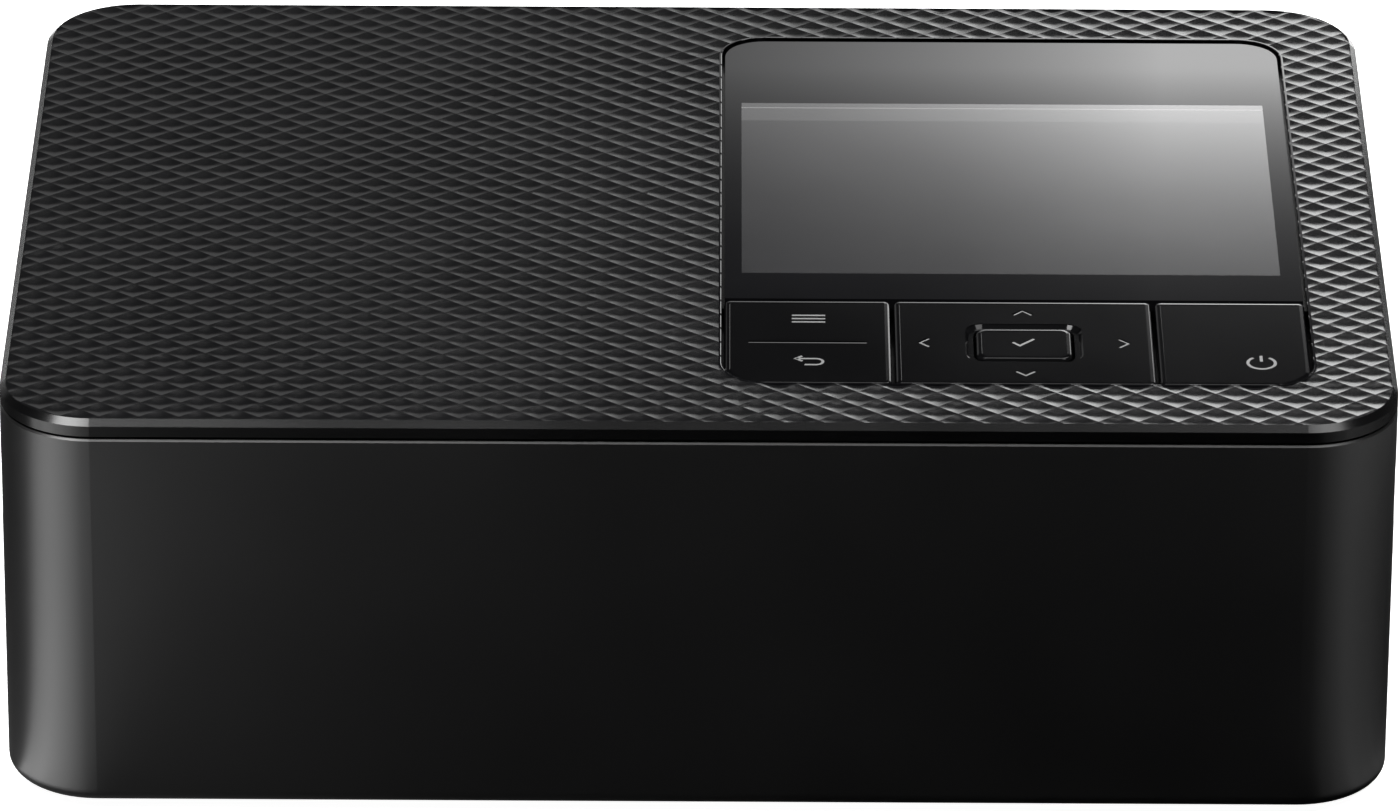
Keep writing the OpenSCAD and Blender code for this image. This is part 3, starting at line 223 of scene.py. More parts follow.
# %% Rubber and metals
def rubber(name, colour):
    """Soft black rubber, a little dusty."""
    made, nodes, links, shader = new_material(name)
    tint(nodes, links, shader, 3 * MM, colour, [c * 1.5 for c in colour])
    shader.inputs["Sheen Weight"].default_value = 0.15
    drift_gloss(nodes, links, shader, 2 * MM, (0.7, 0.85))
    add_grain(nodes, links, shader, size=0.3 * MM, depth=0.02 * MM)
    return made


def metal(name, colour, gloss, stretch, line=0.15 * MM, depth=0.001 * MM):
    """Metal whose scratches run along the axis with the smallest stretch."""
    made, nodes, links, shader = new_material(name)
    shader.inputs["Metallic"].default_value = 1.0
    tint(nodes, links, shader, 6 * MM, [c * 0.9 for c in colour], colour)
    drift_gloss(nodes, links, shader, line, gloss, stretch)
    add_grain(nodes, links, shader, line, depth, stretch)
    return made


ALONG_X = (0.02, 1, 1)
ALONG_Y = (1, 0.02, 1)
ROUND_X = (1, 0.3, 0.3)
NO_DIRECTION = (1, 1, 1)
foot_rubber = rubber("foot_rubber", (0.012, 0.012, 0.012))
roller_rubber = rubber("roller_rubber", (0.02, 0.02, 0.021))
sheet_steel = metal("zinc_sheet", (0.55, 0.56, 0.58), (0.3, 0.42), ALONG_Y)
ground_steel = metal("ground_steel", (0.62, 0.63, 0.65), (0.15, 0.28), ROUND_X)
spiked_steel = metal("spiked_steel", (0.24, 0.24, 0.25), (0.55, 0.65), NO_DIRECTION,
                     line=0.2 * MM, depth=0.01 * MM)
motor_steel = metal("motor_can", (0.5, 0.51, 0.53), (0.22, 0.34), ALONG_X)
aluminium = metal("extruded_aluminium", (0.66, 0.67, 0.69), (0.28, 0.4), ALONG_X)
metals = (sheet_steel, ground_steel, spiked_steel, motor_steel, aluminium)
print("rubber and metals:", [m.name for m in (foot_rubber, roller_rubber, *metals)])

# %% [markdown]
# The boards are green lacquer over copper. A noise that is drawn out along one axis and then cut
# at one level, so that it has steps, stands for the tracks: they show through the lacquer as
# slightly lighter lines, and they lift it a little.

# %% Circuit board
TRACK_LEVEL = 0.62


def circuit_board(name):
    """Green lacquer over copper tracks that run front to back."""
    made, nodes, links, shader = new_material(name)
    noise = object_noise(nodes, links, 2.2 * MM, stretch=(1, 0.15, 1), detail=0.0)
    tracks = spread(nodes, links, noise, 0, 1)
    steps = nodes.new("ShaderNodeMath")
    steps.operation = "GREATER_THAN"
    steps.inputs[1].default_value = TRACK_LEVEL
    links.new(tracks, steps.inputs[0])
    mix = nodes.new("ShaderNodeMix")
    mix.data_type = "RGBA"
    mix.inputs["A"].default_value = (0.006, 0.06, 0.025, 1)
    mix.inputs["B"].default_value = (0.014, 0.11, 0.045, 1)
    links.new(steps.outputs[0], mix.inputs["Factor"])
    links.new(mix.outputs["Result"], shader.inputs["Base Color"])
    shader.inputs["Roughness"].default_value = 0.32
    bump = nodes.new("ShaderNodeBump")
    bump.inputs["Distance"].default_value = 0.03 * MM
    links.new(steps.outputs[0], bump.inputs["Height"])
    links.new(bump.outputs["Normal"], shader.inputs["Normal"])
    return made


board_green = circuit_board("board_green")
print("board:", board_green.name)

# %% [markdown]
# ## The dye ribbon
# The printer lays down one colour at a time. The ribbon therefore carries panels of yellow,
# magenta, cyan and a clear coat, one after another, each as long as a print. Wound on its roll the
# layers add up to a dark, glossy violet. Noise that is fine along the roll and drawn out round it
# gives the rings of the winding, and a stepped colour ramp along the path gives the panels that
# are under way.

# %% Materials of the ribbon
PANELS = [(0.0, (0.7, 0.5, 0.02)), (0.36, (0.5, 0.02, 0.2)), (0.78, (0.02, 0.25, 0.5))]


def ribbon_roll(name):
    """Many layers of ribbon, wound up."""
    made, nodes, links, shader = new_material(name)
    tint(nodes, links, shader, 2 * MM, (0.05, 0.012, 0.035), (0.1, 0.03, 0.08), (0.01, 1, 1))
    shader.inputs["Roughness"].default_value = 0.25
    add_grain(nodes, links, shader, 0.3 * MM, 0.01 * MM, (1, 0.05, 0.05))
    return made


def ribbon_panels(name):
    """Panels of dye, each from its place along the film, 0 to 1, to the next one's."""
    made, nodes, links, shader = new_material(name)
    place = nodes.new("ShaderNodeTexCoord")
    axes = nodes.new("ShaderNodeSeparateXYZ")
    reach = nodes.new("ShaderNodeMapRange")
    low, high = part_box("ribbon_film")
    reach.inputs["From Min"].default_value = low.y
    reach.inputs["From Max"].default_value = high.y
    ramp = nodes.new("ShaderNodeValToRGB")
    ramp.color_ramp.interpolation = "CONSTANT"
    while len(ramp.color_ramp.elements) < len(PANELS):
        ramp.color_ramp.elements.new(0.5)
    for element, (at, colour) in zip(ramp.color_ramp.elements, PANELS):
        element.position = at
        element.color = (*colour, 1)
    links.new(place.outputs["Object"], axes.inputs["Vector"])
    links.new(axes.outputs["Y"], reach.inputs["Value"])
    links.new(reach.outputs["Result"], ramp.inputs["Fac"])
    links.new(ramp.outputs["Color"], shader.inputs["Base Color"])
    shader.inputs["Roughness"].default_value = 0.2
    add_grain(nodes, links, shader, 4 * MM, 0.02 * MM)
    return made


roll_violet = ribbon_roll("ribbon_roll")
film_panels = ribbon_panels("ribbon_film")
print("ribbon finishes:", roll_violet.name, film_panels.name)

# %% [markdown]
# ## Give every CAD piece its finish
# A dictionary pairs each finish with the pieces that are made of it. Listing them by finish rather
# than by piece shows at a glance what the printer is made of, and the check at the end of the cell
# makes sure that no piece was forgotten.

# %% Assign the finishes
window_black = moulded("window_black", (0.003, 0.003, 0.0035), (0.03, 0.04),
                       grain=0.6 * MM, depth=0.00005 * MM, specular=0.4)
screen_grey = moulded("screen_grey", (0.02, 0.021, 0.024), (0.1, 0.14),
                      grain=0.3 * MM, depth=0.0002 * MM)
finishes = {
    case_black: ["body_shell", "front_cover", "ink_door"],
    relief_black: ["top_cover"],
    key_black: ["menu_key", "nav_pad", "ok_key", "power_key"],
    window_black: ["display_window"],
    screen_grey: ["display_module"],
    inner_black: ["base_pan", "front_frame", "paper_guide"],
    foot_rubber: ["rubber_feet"],
    roller_rubber: ["platen_roller", "pinch_roller", "feed_roller"],
    ground_steel: ["case_screws", "front_hinge_pins", "ink_door_pin", "cross_stays",
                   "idler_studs", "motor_pinion"],
    spiked_steel: ["capstan_roller"],
    sheet_steel: ["display_bracket", "nav_cradle", "card_socket", "usb_socket",
                  "left_side_plate", "right_side_plate", "head_carriage", "motor_bracket"],
    motor_steel: ["drive_motor"],
    aluminium: ["head_heatsink"],
    board_green: ["key_board", "io_board", "main_board"],
    epoxy: ["tact_switches", "power_jack", "board_parts"],
    acetal: ["shaft_bushes", "platen_gear", "capstan_gear", "feed_gear", "drive_idler",
             "ribbon_idler", "take_up_gear", "take_up_hub", "supply_hub"],
    ceramic: ["print_head"],
    cassette_grey: ["ribbon_cassette", "cassette_lever"],
    roll_violet: ["take_up_spool", "supply_spool"],
    film_panels: ["ribbon_film"],
}


def finish_with(piece, finish):
    """Puts one finish on all of a piece."""
    piece.data.materials.clear()
    piece.data.materials.append(finish)


for finish, names in finishes.items():
    for name in names:
        finish_with(part[name], finish)
left_out = sorted(set(part) - {n for names in finishes.values() for n in names})
assert not left_out, left_out
print(len(finishes), "finishes on", len(part), "pieces")

# %% [markdown]
# ## The diamond relief on the top
# The top of the real printer is moulded in a lattice of shallow diamond dishes that meet in sharp
# crests. The crests catch the light one by one, which a painted pattern can't do, so the dishes
# are real faces here. The lattice is cut off cleanly where the top ends: the CAD cover's own flat
# face is taken away, its two outlines are read from it, and every face that crosses an outline is
# clipped.
#
# An edge that belongs to one flat triangle only, and not to its neighbour too, lies on an outline.
# Each such edge says which corner follows which, so the outlines can be walked round. Numbers that
# should be equal differ a little after rounding, so a few tolerances say how near is near enough.

# %% Read the outlines of the flat face on top
SAME_HEIGHT = 1e-6
SAME_POINT = 1e-7
ON_THE_LINE = 1e-8
SHORTEST_SIDE = 1e-6
MESH_DIGITS = 7
CLIP_DIGITS = 8


def outlines_of_top(mesh, z):
    """The rings of points round the flat face at height z, the outer one first."""
    open_edges = {}
    for face in mesh.polygons:
        if all(abs(mesh.vertices[v].co.z - z) < SAME_HEIGHT for v in face.vertices):
            corners = [tuple(round(c, MESH_DIGITS) for c in mesh.vertices[v].co[:2])
                       for v in face.vertices]
            for a, b in zip(corners, corners[1:] + corners[:1]):
                if (b, a) in open_edges:
                    del open_edges[(b, a)]
                else:
                    open_edges[(a, b)] = True
    follow = {a: b for a, b in open_edges}
    rings = []
    while follow:
        start, at = follow.popitem()
        ring = [start]
        while at != start:
            ring.append(at)
            at = follow.pop(at)
        rings.append([Vector(p) for p in ring])
    return sorted(rings, key=lambda ring: min(p.x for p in ring))


def anticlockwise(ring):
    """The ring in the order that keeps its inside on the left."""
    area = sum(a.x * b.y - b.x * a.y for a, b in zip(ring, ring[1:] + ring[:1]))
    return ring if area > 0 else ring[::-1]


top_z = cad_high.z
outer_ring, recess_ring = [anticlockwise(ring)
                           for ring in outlines_of_top(part["top_cover"].data, top_z)]
print("outline corners:", len(outer_ring), "outside,", len(recess_ring), "round the recess")

# %% [markdown]
# A convex outline is a row of straight cuts. Keeping what lies inside every cut clips a face to
# the outer edge. For the display recess, which is a hole, the parts outside each cut are kept in
# turn.

# %% Clip a face to the outlines
def split(face, a, b):
    """The parts of a face on the left and on the right of the line from a to b."""
    along = b - a
    sides = [along.x * (p.y - a.y) - along.y * (p.x - a.x) for p in face]
    left, right = [], []
    for i, p in enumerate(face):
        q, here, there = face[(i + 1) % len(face)], sides[i], sides[(i + 1) % len(face)]
        if here >= 0:
            left.append(p)
        if here <= 0:
            right.append(p)
        if here * there < 0:
            crossing = p + (q - p) * (here / (here - there))
            left.append(crossing)
            right.append(crossing)
    return (left if len(left) > 2 else []), (right if len(right) > 2 else [])


def clipped(face):
    """The parts of a face inside the outer outline and outside the recess."""
    for a, b in zip(outer_ring, outer_ring[1:] + outer_ring[:1]):
        face = split(face, a, b)[0]
        if not face:
            return []
    kept = []
    for a, b in zip(recess_ring, recess_ring[1:] + recess_ring[:1]):
        face, outside = split(face, a, b)
        if outside:
            kept.append(outside)
        if not face:
            break
    return kept


def on_outline(p, q):
    """True if the edge from p to q lies on one of the outlines."""
    for ring in (outer_ring, recess_ring):
        for a, b in zip(ring, ring[1:] + ring[:1]):
            along, length = (b - a).normalized(), (b - a).length
            away = [abs(along.x * (r.y - a.y) - along.y * (r.x - a.x)) for r in (p, q)]
            if max(away) < ON_THE_LINE and length > SHORTEST_SIDE:
                if -SAME_POINT < (p.xy - a).dot(along) < length + SAME_POINT:
                    return True
    return False


print("clipping ready")

# %% [markdown]
# Each dish is a small grid of faces. Its depth is greatest in the middle and falls to nothing at
# all four edges, as the product of two arches does. The faces of one dish share their corners, so
# the dish is shaded smoothly, and dishes don't share corners with each other, so the crests stay
# sharp. Where an outline cuts through a dish, a small upright wall closes the step up to the
# cover's edge.

# %% Build the lattice
DIAMOND_X = 5.17 * MM
DIAMOND_Y = 4.20 * MM
DISH_DEPTH = 0.3 * MM
DISH_STEPS = 4


def dish_point(centre, i, j):
    """A corner of the dish's grid, i and j steps along its two edges."""
    u, v = 2 * i / DISH_STEPS - 1, 2 * j / DISH_STEPS - 1
    depth = DISH_DEPTH * (1 - u * u) * (1 - v * v)
    return Vector((centre.x + (u - v) * DIAMOND_X / 4, centre.y + (u + v) * DIAMOND_Y / 4,
                   top_z - depth))


def add_dish(shape, centre):
    """Adds one dish, clipped to the outlines, with an upright edge where an outline cuts it."""
    corners = {}

    def corner(p):
        place = tuple(round(c, CLIP_DIGITS) for c in p)
        if place not in corners:
            corners[place] = shape.verts.new(p)
        return corners[place]

    for i in range(DISH_STEPS):
        for j in range(DISH_STEPS):
            whole = [dish_point(centre, *at)
                     for at in ((i, j), (i + 1, j), (i + 1, j + 1), (i, j + 1))]
            for face in clipped(whole):
                ring = list(dict.fromkeys(corner(p) for p in face))
                if len(ring) > 2:
                    shape.faces.new(ring).smooth = True
                if face == whole:
                    continue
                for p, q in zip(face, face[1:] + face[:1]):
                    if on_outline(p, q) and (p - q).length > SAME_POINT:
                        wall = [q, p, Vector((p.x, p.y, top_z)), Vector((q.x, q.y, top_z))]
                        wall = [tuple(round(c, CLIP_DIGITS) for c in w) for w in wall]
                        wall = list(dict.fromkeys(wall))
                        if len(wall) > 2:
                            shape.faces.new([shape.verts.new(w) for w in wall])


def top_with_relief(cover):
    """A copy of the CAD cover with the lattice in place of its flat face."""
    shape = bmesh.new()
    shape.from_mesh(cover.data)
    flat = [f for f in shape.faces if all(abs(v.co.z - top_z) < SAME_HEIGHT for v in f.verts)]
    bmesh.ops.delete(shape, geom=flat, context="FACES")
    for face in shape.faces:
        face.material_index = 1
    rows = int(cad_high.y / DIAMOND_Y * 2) + 2
    columns = int(cad_high.x / DIAMOND_X) + 2
    for row in range(-rows, rows + 1):
        for column in range(-columns, columns + 1):
            centre = Vector(((column + row % 2 / 2) * DIAMOND_X, row * DIAMOND_Y / 2))
            add_dish(shape, centre)
    mesh = bpy.data.meshes.new("top_cover_relief")
    shape.to_mesh(mesh)
    shape.free()
    return mesh


top_relief = bpy.data.objects.new("top_cover_relief", top_with_relief(part["top_cover"]))
bpy.context.scene.collection.objects.link(top_relief)
top_relief.data.materials.append(relief_black)
# Every face of the cover but the lattice takes the darker copy, a painted shade.
top_relief.data.materials.append(skirt_painted_shade_black)
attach(top_relief, "chassis")
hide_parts("top_cover")
print("relief faces:", len(top_relief.data.polygons))

# %% [markdown]
# ## The display window
# The window is one flat sheet of clear plastic. Its underside is printed black, except over the
# picture. There the light goes on to the picture panel below, whose own surface is slightly rough,
# so this area mirrors more light than the print and blurs it. A coat stands for the clear sheet
# and the layer under it for the panel. Along its rear edge the panel has a band painted paler,
# with one bright line painted in it: a painted reflection of the window's printed border in the
# panel. Cuts along the edges of the print, the painted band and the painted line give each area
# its own faces.

# %% Cut the window's face into its areas
PICTURE_X = (5.6 * MM, 77.25 * MM)
PICTURE_Y = (-20.25 * MM, 34.1 * MM)
# Painted reflection: a band painted paler and a line painted bright along the panel's rear edge.
PAINTED_BAND_Y = 28.4 * MM
PAINTED_LINE_Y = (32.45 * MM, 32.75 * MM)
FACES_UP = 0.9


def window_areas():
    """A copy of the CAD window with print, picture, painted band and painted line apart on top."""
    areas = [(PICTURE_X, PICTURE_Y, 1),
             (PICTURE_X, (PAINTED_BAND_Y, PICTURE_Y[1]), 2),
             (PICTURE_X, PAINTED_LINE_Y, 3)]
    shape = bmesh.new()
    shape.from_mesh(part["display_window"].data)
    cuts = [(Vector((x, 0, 0)), Vector((1, 0, 0))) for x in PICTURE_X]
    cuts += [(Vector((0, y, 0)), Vector((0, 1, 0))) for y in (*PICTURE_Y, PAINTED_BAND_Y, *PAINTED_LINE_Y)]
    for at, normal in cuts:
        upper = [f for f in shape.faces if f.normal.z > FACES_UP]
        edges = list({e for f in upper for e in f.edges})
        corners = list({v for f in upper for v in f.verts})
        bmesh.ops.bisect_plane(shape, geom=corners + edges + upper, plane_co=at, plane_no=normal)
    for face in shape.faces:
        middle = face.calc_center_median()
        for (left, right), (front, back), index in areas:
            inside = left < middle.x < right and front < middle.y < back
            if face.normal.z > FACES_UP and inside:
                face.material_index = index
    mesh = bpy.data.meshes.new("window_printed")
    shape.to_mesh(mesh)
    shape.free()
    return mesh


def panel_finish(name, colour, gloss):
    """The picture panel's surface under the clear sheet."""
    made = moulded(name, colour, gloss, grain=1.5 * MM, depth=0.00001 * MM, specular=0.9)
    shader = next(n for n in made.node_tree.nodes if n.type == "BSDF_PRINCIPLED")
    shader.inputs["Coat Weight"].default_value = 1.0
    shader.inputs["Coat Roughness"].default_value = 0.03
    return made


window = bpy.data.objects.new("window_printed", window_areas())
bpy.context.scene.collection.objects.link(window)
# The band and the line take paler finishes: a painted reflection of the window's border.
for finish in (window_black,
               panel_finish("picture_panel", (0.012, 0.012, 0.013), (0.15, 0.17)),
               panel_finish("panel_painted_reflection", (0.035, 0.035, 0.036), (0.2, 0.22)),
               panel_finish("panel_painted_highlight_line", (0.12, 0.12, 0.12), (0.2, 0.22))):
    window.data.materials.append(finish)
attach(window, "chassis")
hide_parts("display_window")
print("window faces:", len(window.data.polygons))

# %% [markdown]
# ## Lines swept along a path
# The rim of the recess, the edges of the keys and the signs on them are all a small profile
# carried along a line. At each corner the profile is turned half way between the two directions
# and widened a little, as a picture framer mitres a moulding, so that the line keeps its width. A
# very sharp corner would widen it without end, so there is a limit.

# %% A helper that sweeps a profile
SHARPEST_MITRE = 0.4


def sweep(shape, path, profile, z, closed=False):
    """Carries a closed profile of (left, up) points along a flat path at height z."""
    stations = []
    for i, p in enumerate(path):
        ways = []
        if closed or i > 0:
            ways.append((p - path[i - 1]).normalized())
        if closed or i < len(path) - 1:
            ways.append((path[(i + 1) % len(path)] - p).normalized())
        lefts = [Vector((-w.y, w.x)) for w in ways]
        left = sum(lefts, Vector((0, 0))).normalized()
        left /= max(left.dot(lefts[0]), SHARPEST_MITRE)
        stations.append([shape.verts.new((p.x + left.x * u, p.y + left.y * u, z + v))
                         for u, v in profile])
    following = stations[1:] + (stations[:1] if closed else [])
    for here, there in zip(stations, following):
        for j in range(len(profile)):
            shape.faces.new((here[j - 1], there[j - 1], there[j], here[j]))
    if not closed:
        shape.faces.new(stations[0])
        shape.faces.new(stations[-1][::-1])


def swept_piece(name, shape, finish, body):
    """Turns a finished shape into a piece that rides on a body."""
    bmesh.ops.recalc_face_normals(shape, faces=shape.faces[:])
    mesh = bpy.data.meshes.new(name)
    shape.to_mesh(mesh)
    shape.free()
    piece = bpy.data.objects.new(name, mesh)
    bpy.context.scene.collection.objects.link(piece)
    piece.data.materials.append(finish)
    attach(piece, body)
    return piece


def in_mm(profile):
    """A profile written in millimetres, in metres."""
    return [(u * MM, v * MM) for u, v in profile]


print("sweeping ready")

# %% [markdown]
# The recess for the window and the keys has a narrow polished rim. Its inner edge is rounded, and
# its outer part lies level with the crests of the lattice. The profile is given as steps to the
# left of the path and upwards, in millimetres, so the outside of the recess, on the right, is
# negative.

# %% Lay the rim round the recess
RIM_PROFILE = in_mm([(0, -0.45), (0, -0.12), (-0.035, -0.035), (-0.12, 0), (-0.34, 0),
                     (-0.34, -0.3)])
rim_shape = bmesh.new()
sweep(rim_shape, recess_ring, RIM_PROFILE, top_z, closed=True)
recess_rim = swept_piece("recess_rim", rim_shape, window_black, "chassis")
print("rim of", len(recess_rim.data.polygons), "faces")

# %% [markdown]
# ## Softened key edges
# Moulded keys never have knife edges: the face rolls off softly all round. Along the rear edge the
# roll-off leans back and mirrors the light near the horizon, which draws the thin bright line that
# outlines each key. The roll-off is a low lip swept round the flat face of the CAD key.

# %% Roll off the keys' edges
LIP_PROFILE = in_mm([(-0.39, -0.43), (-0.35, -0.3), (-0.25, -0.14), (-0.13, -0.04), (-0.04, 0),
                     (0.35, 0.07), (0.39, 0.004)])


def face_height(key):
    """The height of a key's flat face."""
    return max(v.co.z for v in part[key].data.vertices)


for key in ("menu_key", "nav_pad", "ok_key", "power_key"):
    outline = anticlockwise(outlines_of_top(part[key].data, face_height(key))[0])
    lip = bmesh.new()
    sweep(lip, outline, LIP_PROFILE, face_height(key), closed=True)
    soft_edge = swept_piece(key + "_edge", lip, key_black, key)
    print(soft_edge.name, "has", len(outline), "corners")

# %% [markdown]
# A groove parts the two halves of the menu key. Its front edge leans back like the others and
# shows as one more thin line. The path runs from right to left, so that the profile's steps to the
# left lead towards the front of the printer.

# %% Edge the groove of the menu key
GROOVE_END = 3.1 * MM
GROOVE_HALF = 0.25 * MM
GROOVE_PROFILE = in_mm([(0, -0.1), (0, 0.004), (0.32, 0.06), (0.35, -0.02)])
menu_low, menu_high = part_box("menu_key")
groove_y = (menu_low.y + menu_high.y) / 2 - GROOVE_HALF
groove_path = [Vector((menu_high.x - GROOVE_END, groove_y)),
               Vector((menu_low.x + GROOVE_END, groove_y))]
groove_line = bmesh.new()
sweep(groove_line, groove_path, GROOVE_PROFILE, face_height("menu_key"))
swept_piece("menu_groove_edge", groove_line, key_black, "menu_key")
print("groove edge between x", [round(p.x / MM, 2) for p in groove_path], "mm")

# %% [markdown]
# ## Signs on the keys
# The keys carry small light grey signs: a list, a return arrow, a tick and the usual power sign.
# They are printed on the real keys, so each stroke here stands only three hundredths of a
# millimetre proud. Every stroke is a short path, in millimetres from the middle of its sign, and
# an arc is a path of many points. With each sign go its middle, the width of its strokes and the
# key that carries it.

# %% Draw the signs
SIGN_H = 0.03 * MM
# The same grey serves the printed signs and the painted highlights in the pad's arrows.
sign_and_glint_grey = moulded("sign_and_glint_grey", (0.15, 0.15, 0.15), (0.4, 0.5), 0.2 * MM, 0.0005 * MM, 0.3)


def arc(centre, radius, start, end, steps=24):
    """Points along an arc, from one angle to another, in degrees."""
    turns = [math.radians(start + (end - start) * i / steps) for i in range(steps + 1)]
    return [(centre[0] + radius * math.cos(t), centre[1] + radius * math.sin(t)) for t in turns]


list_sign = [[(-2.2, y), (2.2, y)] for y in (1.0, 0, -1.0)]
arrow_sign = [[(-1.7, 0.8), (0.9, 0.8)] + arc((0.9, -0.1), 0.9, 80, -90, 10) + [(-0.6, -1.0)],
              [(-0.9, 1.55), (-1.75, 0.8), (-0.9, 0.05)]]
tick_sign = [[(-1.3, 0.1), (-0.4, -0.9), (1.5, 1.1)]]
power_sign = [arc((0, 0), 1.8, 125, 415), [(0, 0.4), (0, 2.1)]]
signs = {"menu_list_sign": (list_sign, (14.4, -34.25), 0.36, "menu_key"),
         "menu_arrow_sign": (arrow_sign, (14.4, -47.1), 0.36, "menu_key"),
         "ok_tick_sign": (tick_sign, (42.5, -40.9), 0.36, "ok_key"),
         "power_sign": (power_sign, (73.6, -46.9), 0.4, "power_key")}
for name, (strokes, (x, y), width, key) in signs.items():
    half = width / 2 * MM
    section = [(half, -SIGN_H), (half, SIGN_H), (-half, SIGN_H), (-half, -SIGN_H)]
    shape = bmesh.new()
    for stroke in strokes:
        sweep(shape, [Vector((x + u, y + v)) * MM for u, v in stroke], section, face_height(key))
    swept_piece(name, shape, sign_and_glint_grey, key)
print("signs:", list(signs))

# %% [markdown]
# The four-way pad has its arrows cut into it. A light grey strip lies in each cut, below the face:
# a painted highlight for the glint on the cut's edges. The arrows stand round the centre key,
# farther out to the sides than to the front and the back, and one arrow is turned and moved to make
# all four.

# %% Fill the arrows with painted highlights
ARROW = [(-0.75, 1.2), (0.45, 0), (-0.75, -1.2)]
OUT_SIDEWAYS = 13.2
OUT_LENGTHWAYS = 9.2
CUT_DEPTH = 0.3 * MM
# The section of each strip: a painted highlight, lying in the cut below the face.
HIGHLIGHT_SECTION = in_mm([(0.15, -0.05), (0.15, 0.2), (-0.15, 0.2), (-0.15, -0.05)])
pad_low, pad_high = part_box("nav_pad")
ok_low, ok_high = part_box("ok_key")
pad_x, pad_y = (pad_low.x + pad_high.x) / 2, (ok_low.y + ok_high.y) / 2
glint_shape = bmesh.new()
for turn in (0, 90, 180, 270):
    out = OUT_LENGTHWAYS if turn % 180 else OUT_SIDEWAYS
    cos, sin = math.cos(math.radians(turn)), math.sin(math.radians(turn))
    path = [Vector((pad_x + ((out + u) * cos - v * sin) * MM,
                    pad_y + ((out + u) * sin + v * cos) * MM)) for u, v in ARROW]
    sweep(glint_shape, path, HIGHLIGHT_SECTION, face_height("nav_pad") - CUT_DEPTH)
arrow_highlight = swept_piece("pad_arrow_painted_highlight", glint_shape, sign_and_glint_grey, "nav_pad")
print(arrow_highlight.name, "round", round(pad_x / MM, 1), round(pad_y / MM, 1), "mm")

# %% [markdown]
# ## The floor and the lights
# The studio is a white sweep. To the camera, and in reflections, the floor gives off light of its
# own, so that it comes out white; the rest is lamp light, so the printer still has a soft shadow.
# A faint even light from all round fills in what the lamps leave.

# %% Make the floor
FLOOR_GLOW = 0.97
FLOOR_SIZE = 12.0
FLOOR_GREY = (0.8, 0.8, 0.8, 1)
WORLD_LIGHT = 0.1


def white_floor(name):
    """A matt floor that also glows, but only for the camera and for reflections."""
    made = bpy.data.materials.new(name)
    made.use_nodes = True
    nodes, links = made.node_tree.nodes, made.node_tree.links
    nodes.clear()
    paths = nodes.new("ShaderNodeLightPath")
    seen = nodes.new("ShaderNodeMath")
    seen.operation = "MAXIMUM"
    links.new(paths.outputs["Is Camera Ray"], seen.inputs[0])
    links.new(paths.outputs["Is Glossy Ray"], seen.inputs[1])
    also = nodes.new("ShaderNodeMath")
    also.operation = "MAXIMUM"
    links.new(seen.outputs[0], also.inputs[0])
    links.new(paths.outputs["Is Transmission Ray"], also.inputs[1])
    share = nodes.new("ShaderNodeMath")
    share.operation = "MULTIPLY"
    share.inputs[1].default_value = FLOOR_GLOW
    links.new(also.outputs[0], share.inputs[0])
    glow = nodes.new("ShaderNodeEmission")
    links.new(share.outputs[0], glow.inputs["Strength"])
    matt = nodes.new("ShaderNodeBsdfDiffuse")
    matt.inputs["Color"].default_value = FLOOR_GREY
    both = nodes.new("ShaderNodeAddShader")
    links.new(glow.outputs[0], both.inputs[0])
    links.new(matt.outputs[0], both.inputs[1])
    out = nodes.new("ShaderNodeOutputMaterial")
    links.new(both.outputs[0], out.inputs["Surface"])
    return made


floor_mesh = bpy.data.meshes.new("floor")
half = FLOOR_SIZE / 2
floor_mesh.from_pydata([(-half, -half, 0), (half, -half, 0), (half, half, 0), (-half, half, 0)],
                       [], [(0, 1, 2, 3)])
floor = bpy.data.objects.new("floor", floor_mesh)
bpy.context.scene.collection.objects.link(floor)
finish_with(floor, white_floor("studio_floor"))

world = bpy.data.worlds.new("studio")
bpy.context.scene.world = world
world.use_nodes = True
world.node_tree.nodes["Background"].inputs["Color"].default_value = (1, 1, 1, 1)
world.node_tree.nodes["Background"].inputs["Strength"].default_value = WORLD_LIGHT
bpy.context.scene.view_settings.view_transform = "Standard"
print("floor of", FLOOR_SIZE, "m")

# %% [markdown]
# Black plastic shows almost nothing but what it reflects. The lamps are therefore placed as a
# photographer would place them: by what each surface should mirror. One hangs high at the back and
# wakes the crests of the lattice, and two hang in front, for the rounded corners and the bevel of
# the top. Places and sizes are in metres, and power is in watts.

# %% Hang the lamps
def lamp(name, at, aim, size, power):
    """A rectangular soft light that faces a point."""
    data = bpy.data.lights.new(name, "AREA")
    data.shape = "RECTANGLE"
    data.size, data.size_y = size
    data.energy = power
    made = bpy.data.objects.new(name, data)
    made.location = at
    made.rotation_mode = "QUATERNION"
    made.rotation_quaternion = (Vector(aim) - Vector(at)).to_track_quat("-Z", "Y")
    bpy.context.scene.collection.objects.link(made)
    return made


lamps = [lamp("top_lamp", at=(0.3, 0.5, 1.3), aim=(0, 0, 0.03), size=(1.0, 0.8), power=15),
         lamp("left_lamp", at=(-0.42, -0.42, 0.9), aim=(-0.09, -0.06, 0.05), size=(0.42, 0.42),
              power=13),
         lamp("right_lamp", at=(0.42, -0.42, 0.9), aim=(0.09, -0.06, 0.05), size=(0.42, 0.42),
              power=4.5)]
print("lamps:", [one.name for one in lamps])

# %% [markdown]
# ## Cards for the reflections
# The display window mirrors what stands behind the printer, and the front mirrors what lies before
# it. A photographer puts graded cards there. A fade of light goes by ratio, so each card's
# strength is the exponential of a sum of one or two slopes, and each slope stops at a limit. An
# exponent of zero is as bright as white paper, and minus four is nearly black. An even card has a
# slope that starts and ends at the same value. Only reflections see the cards: the camera and the
# floor don't.

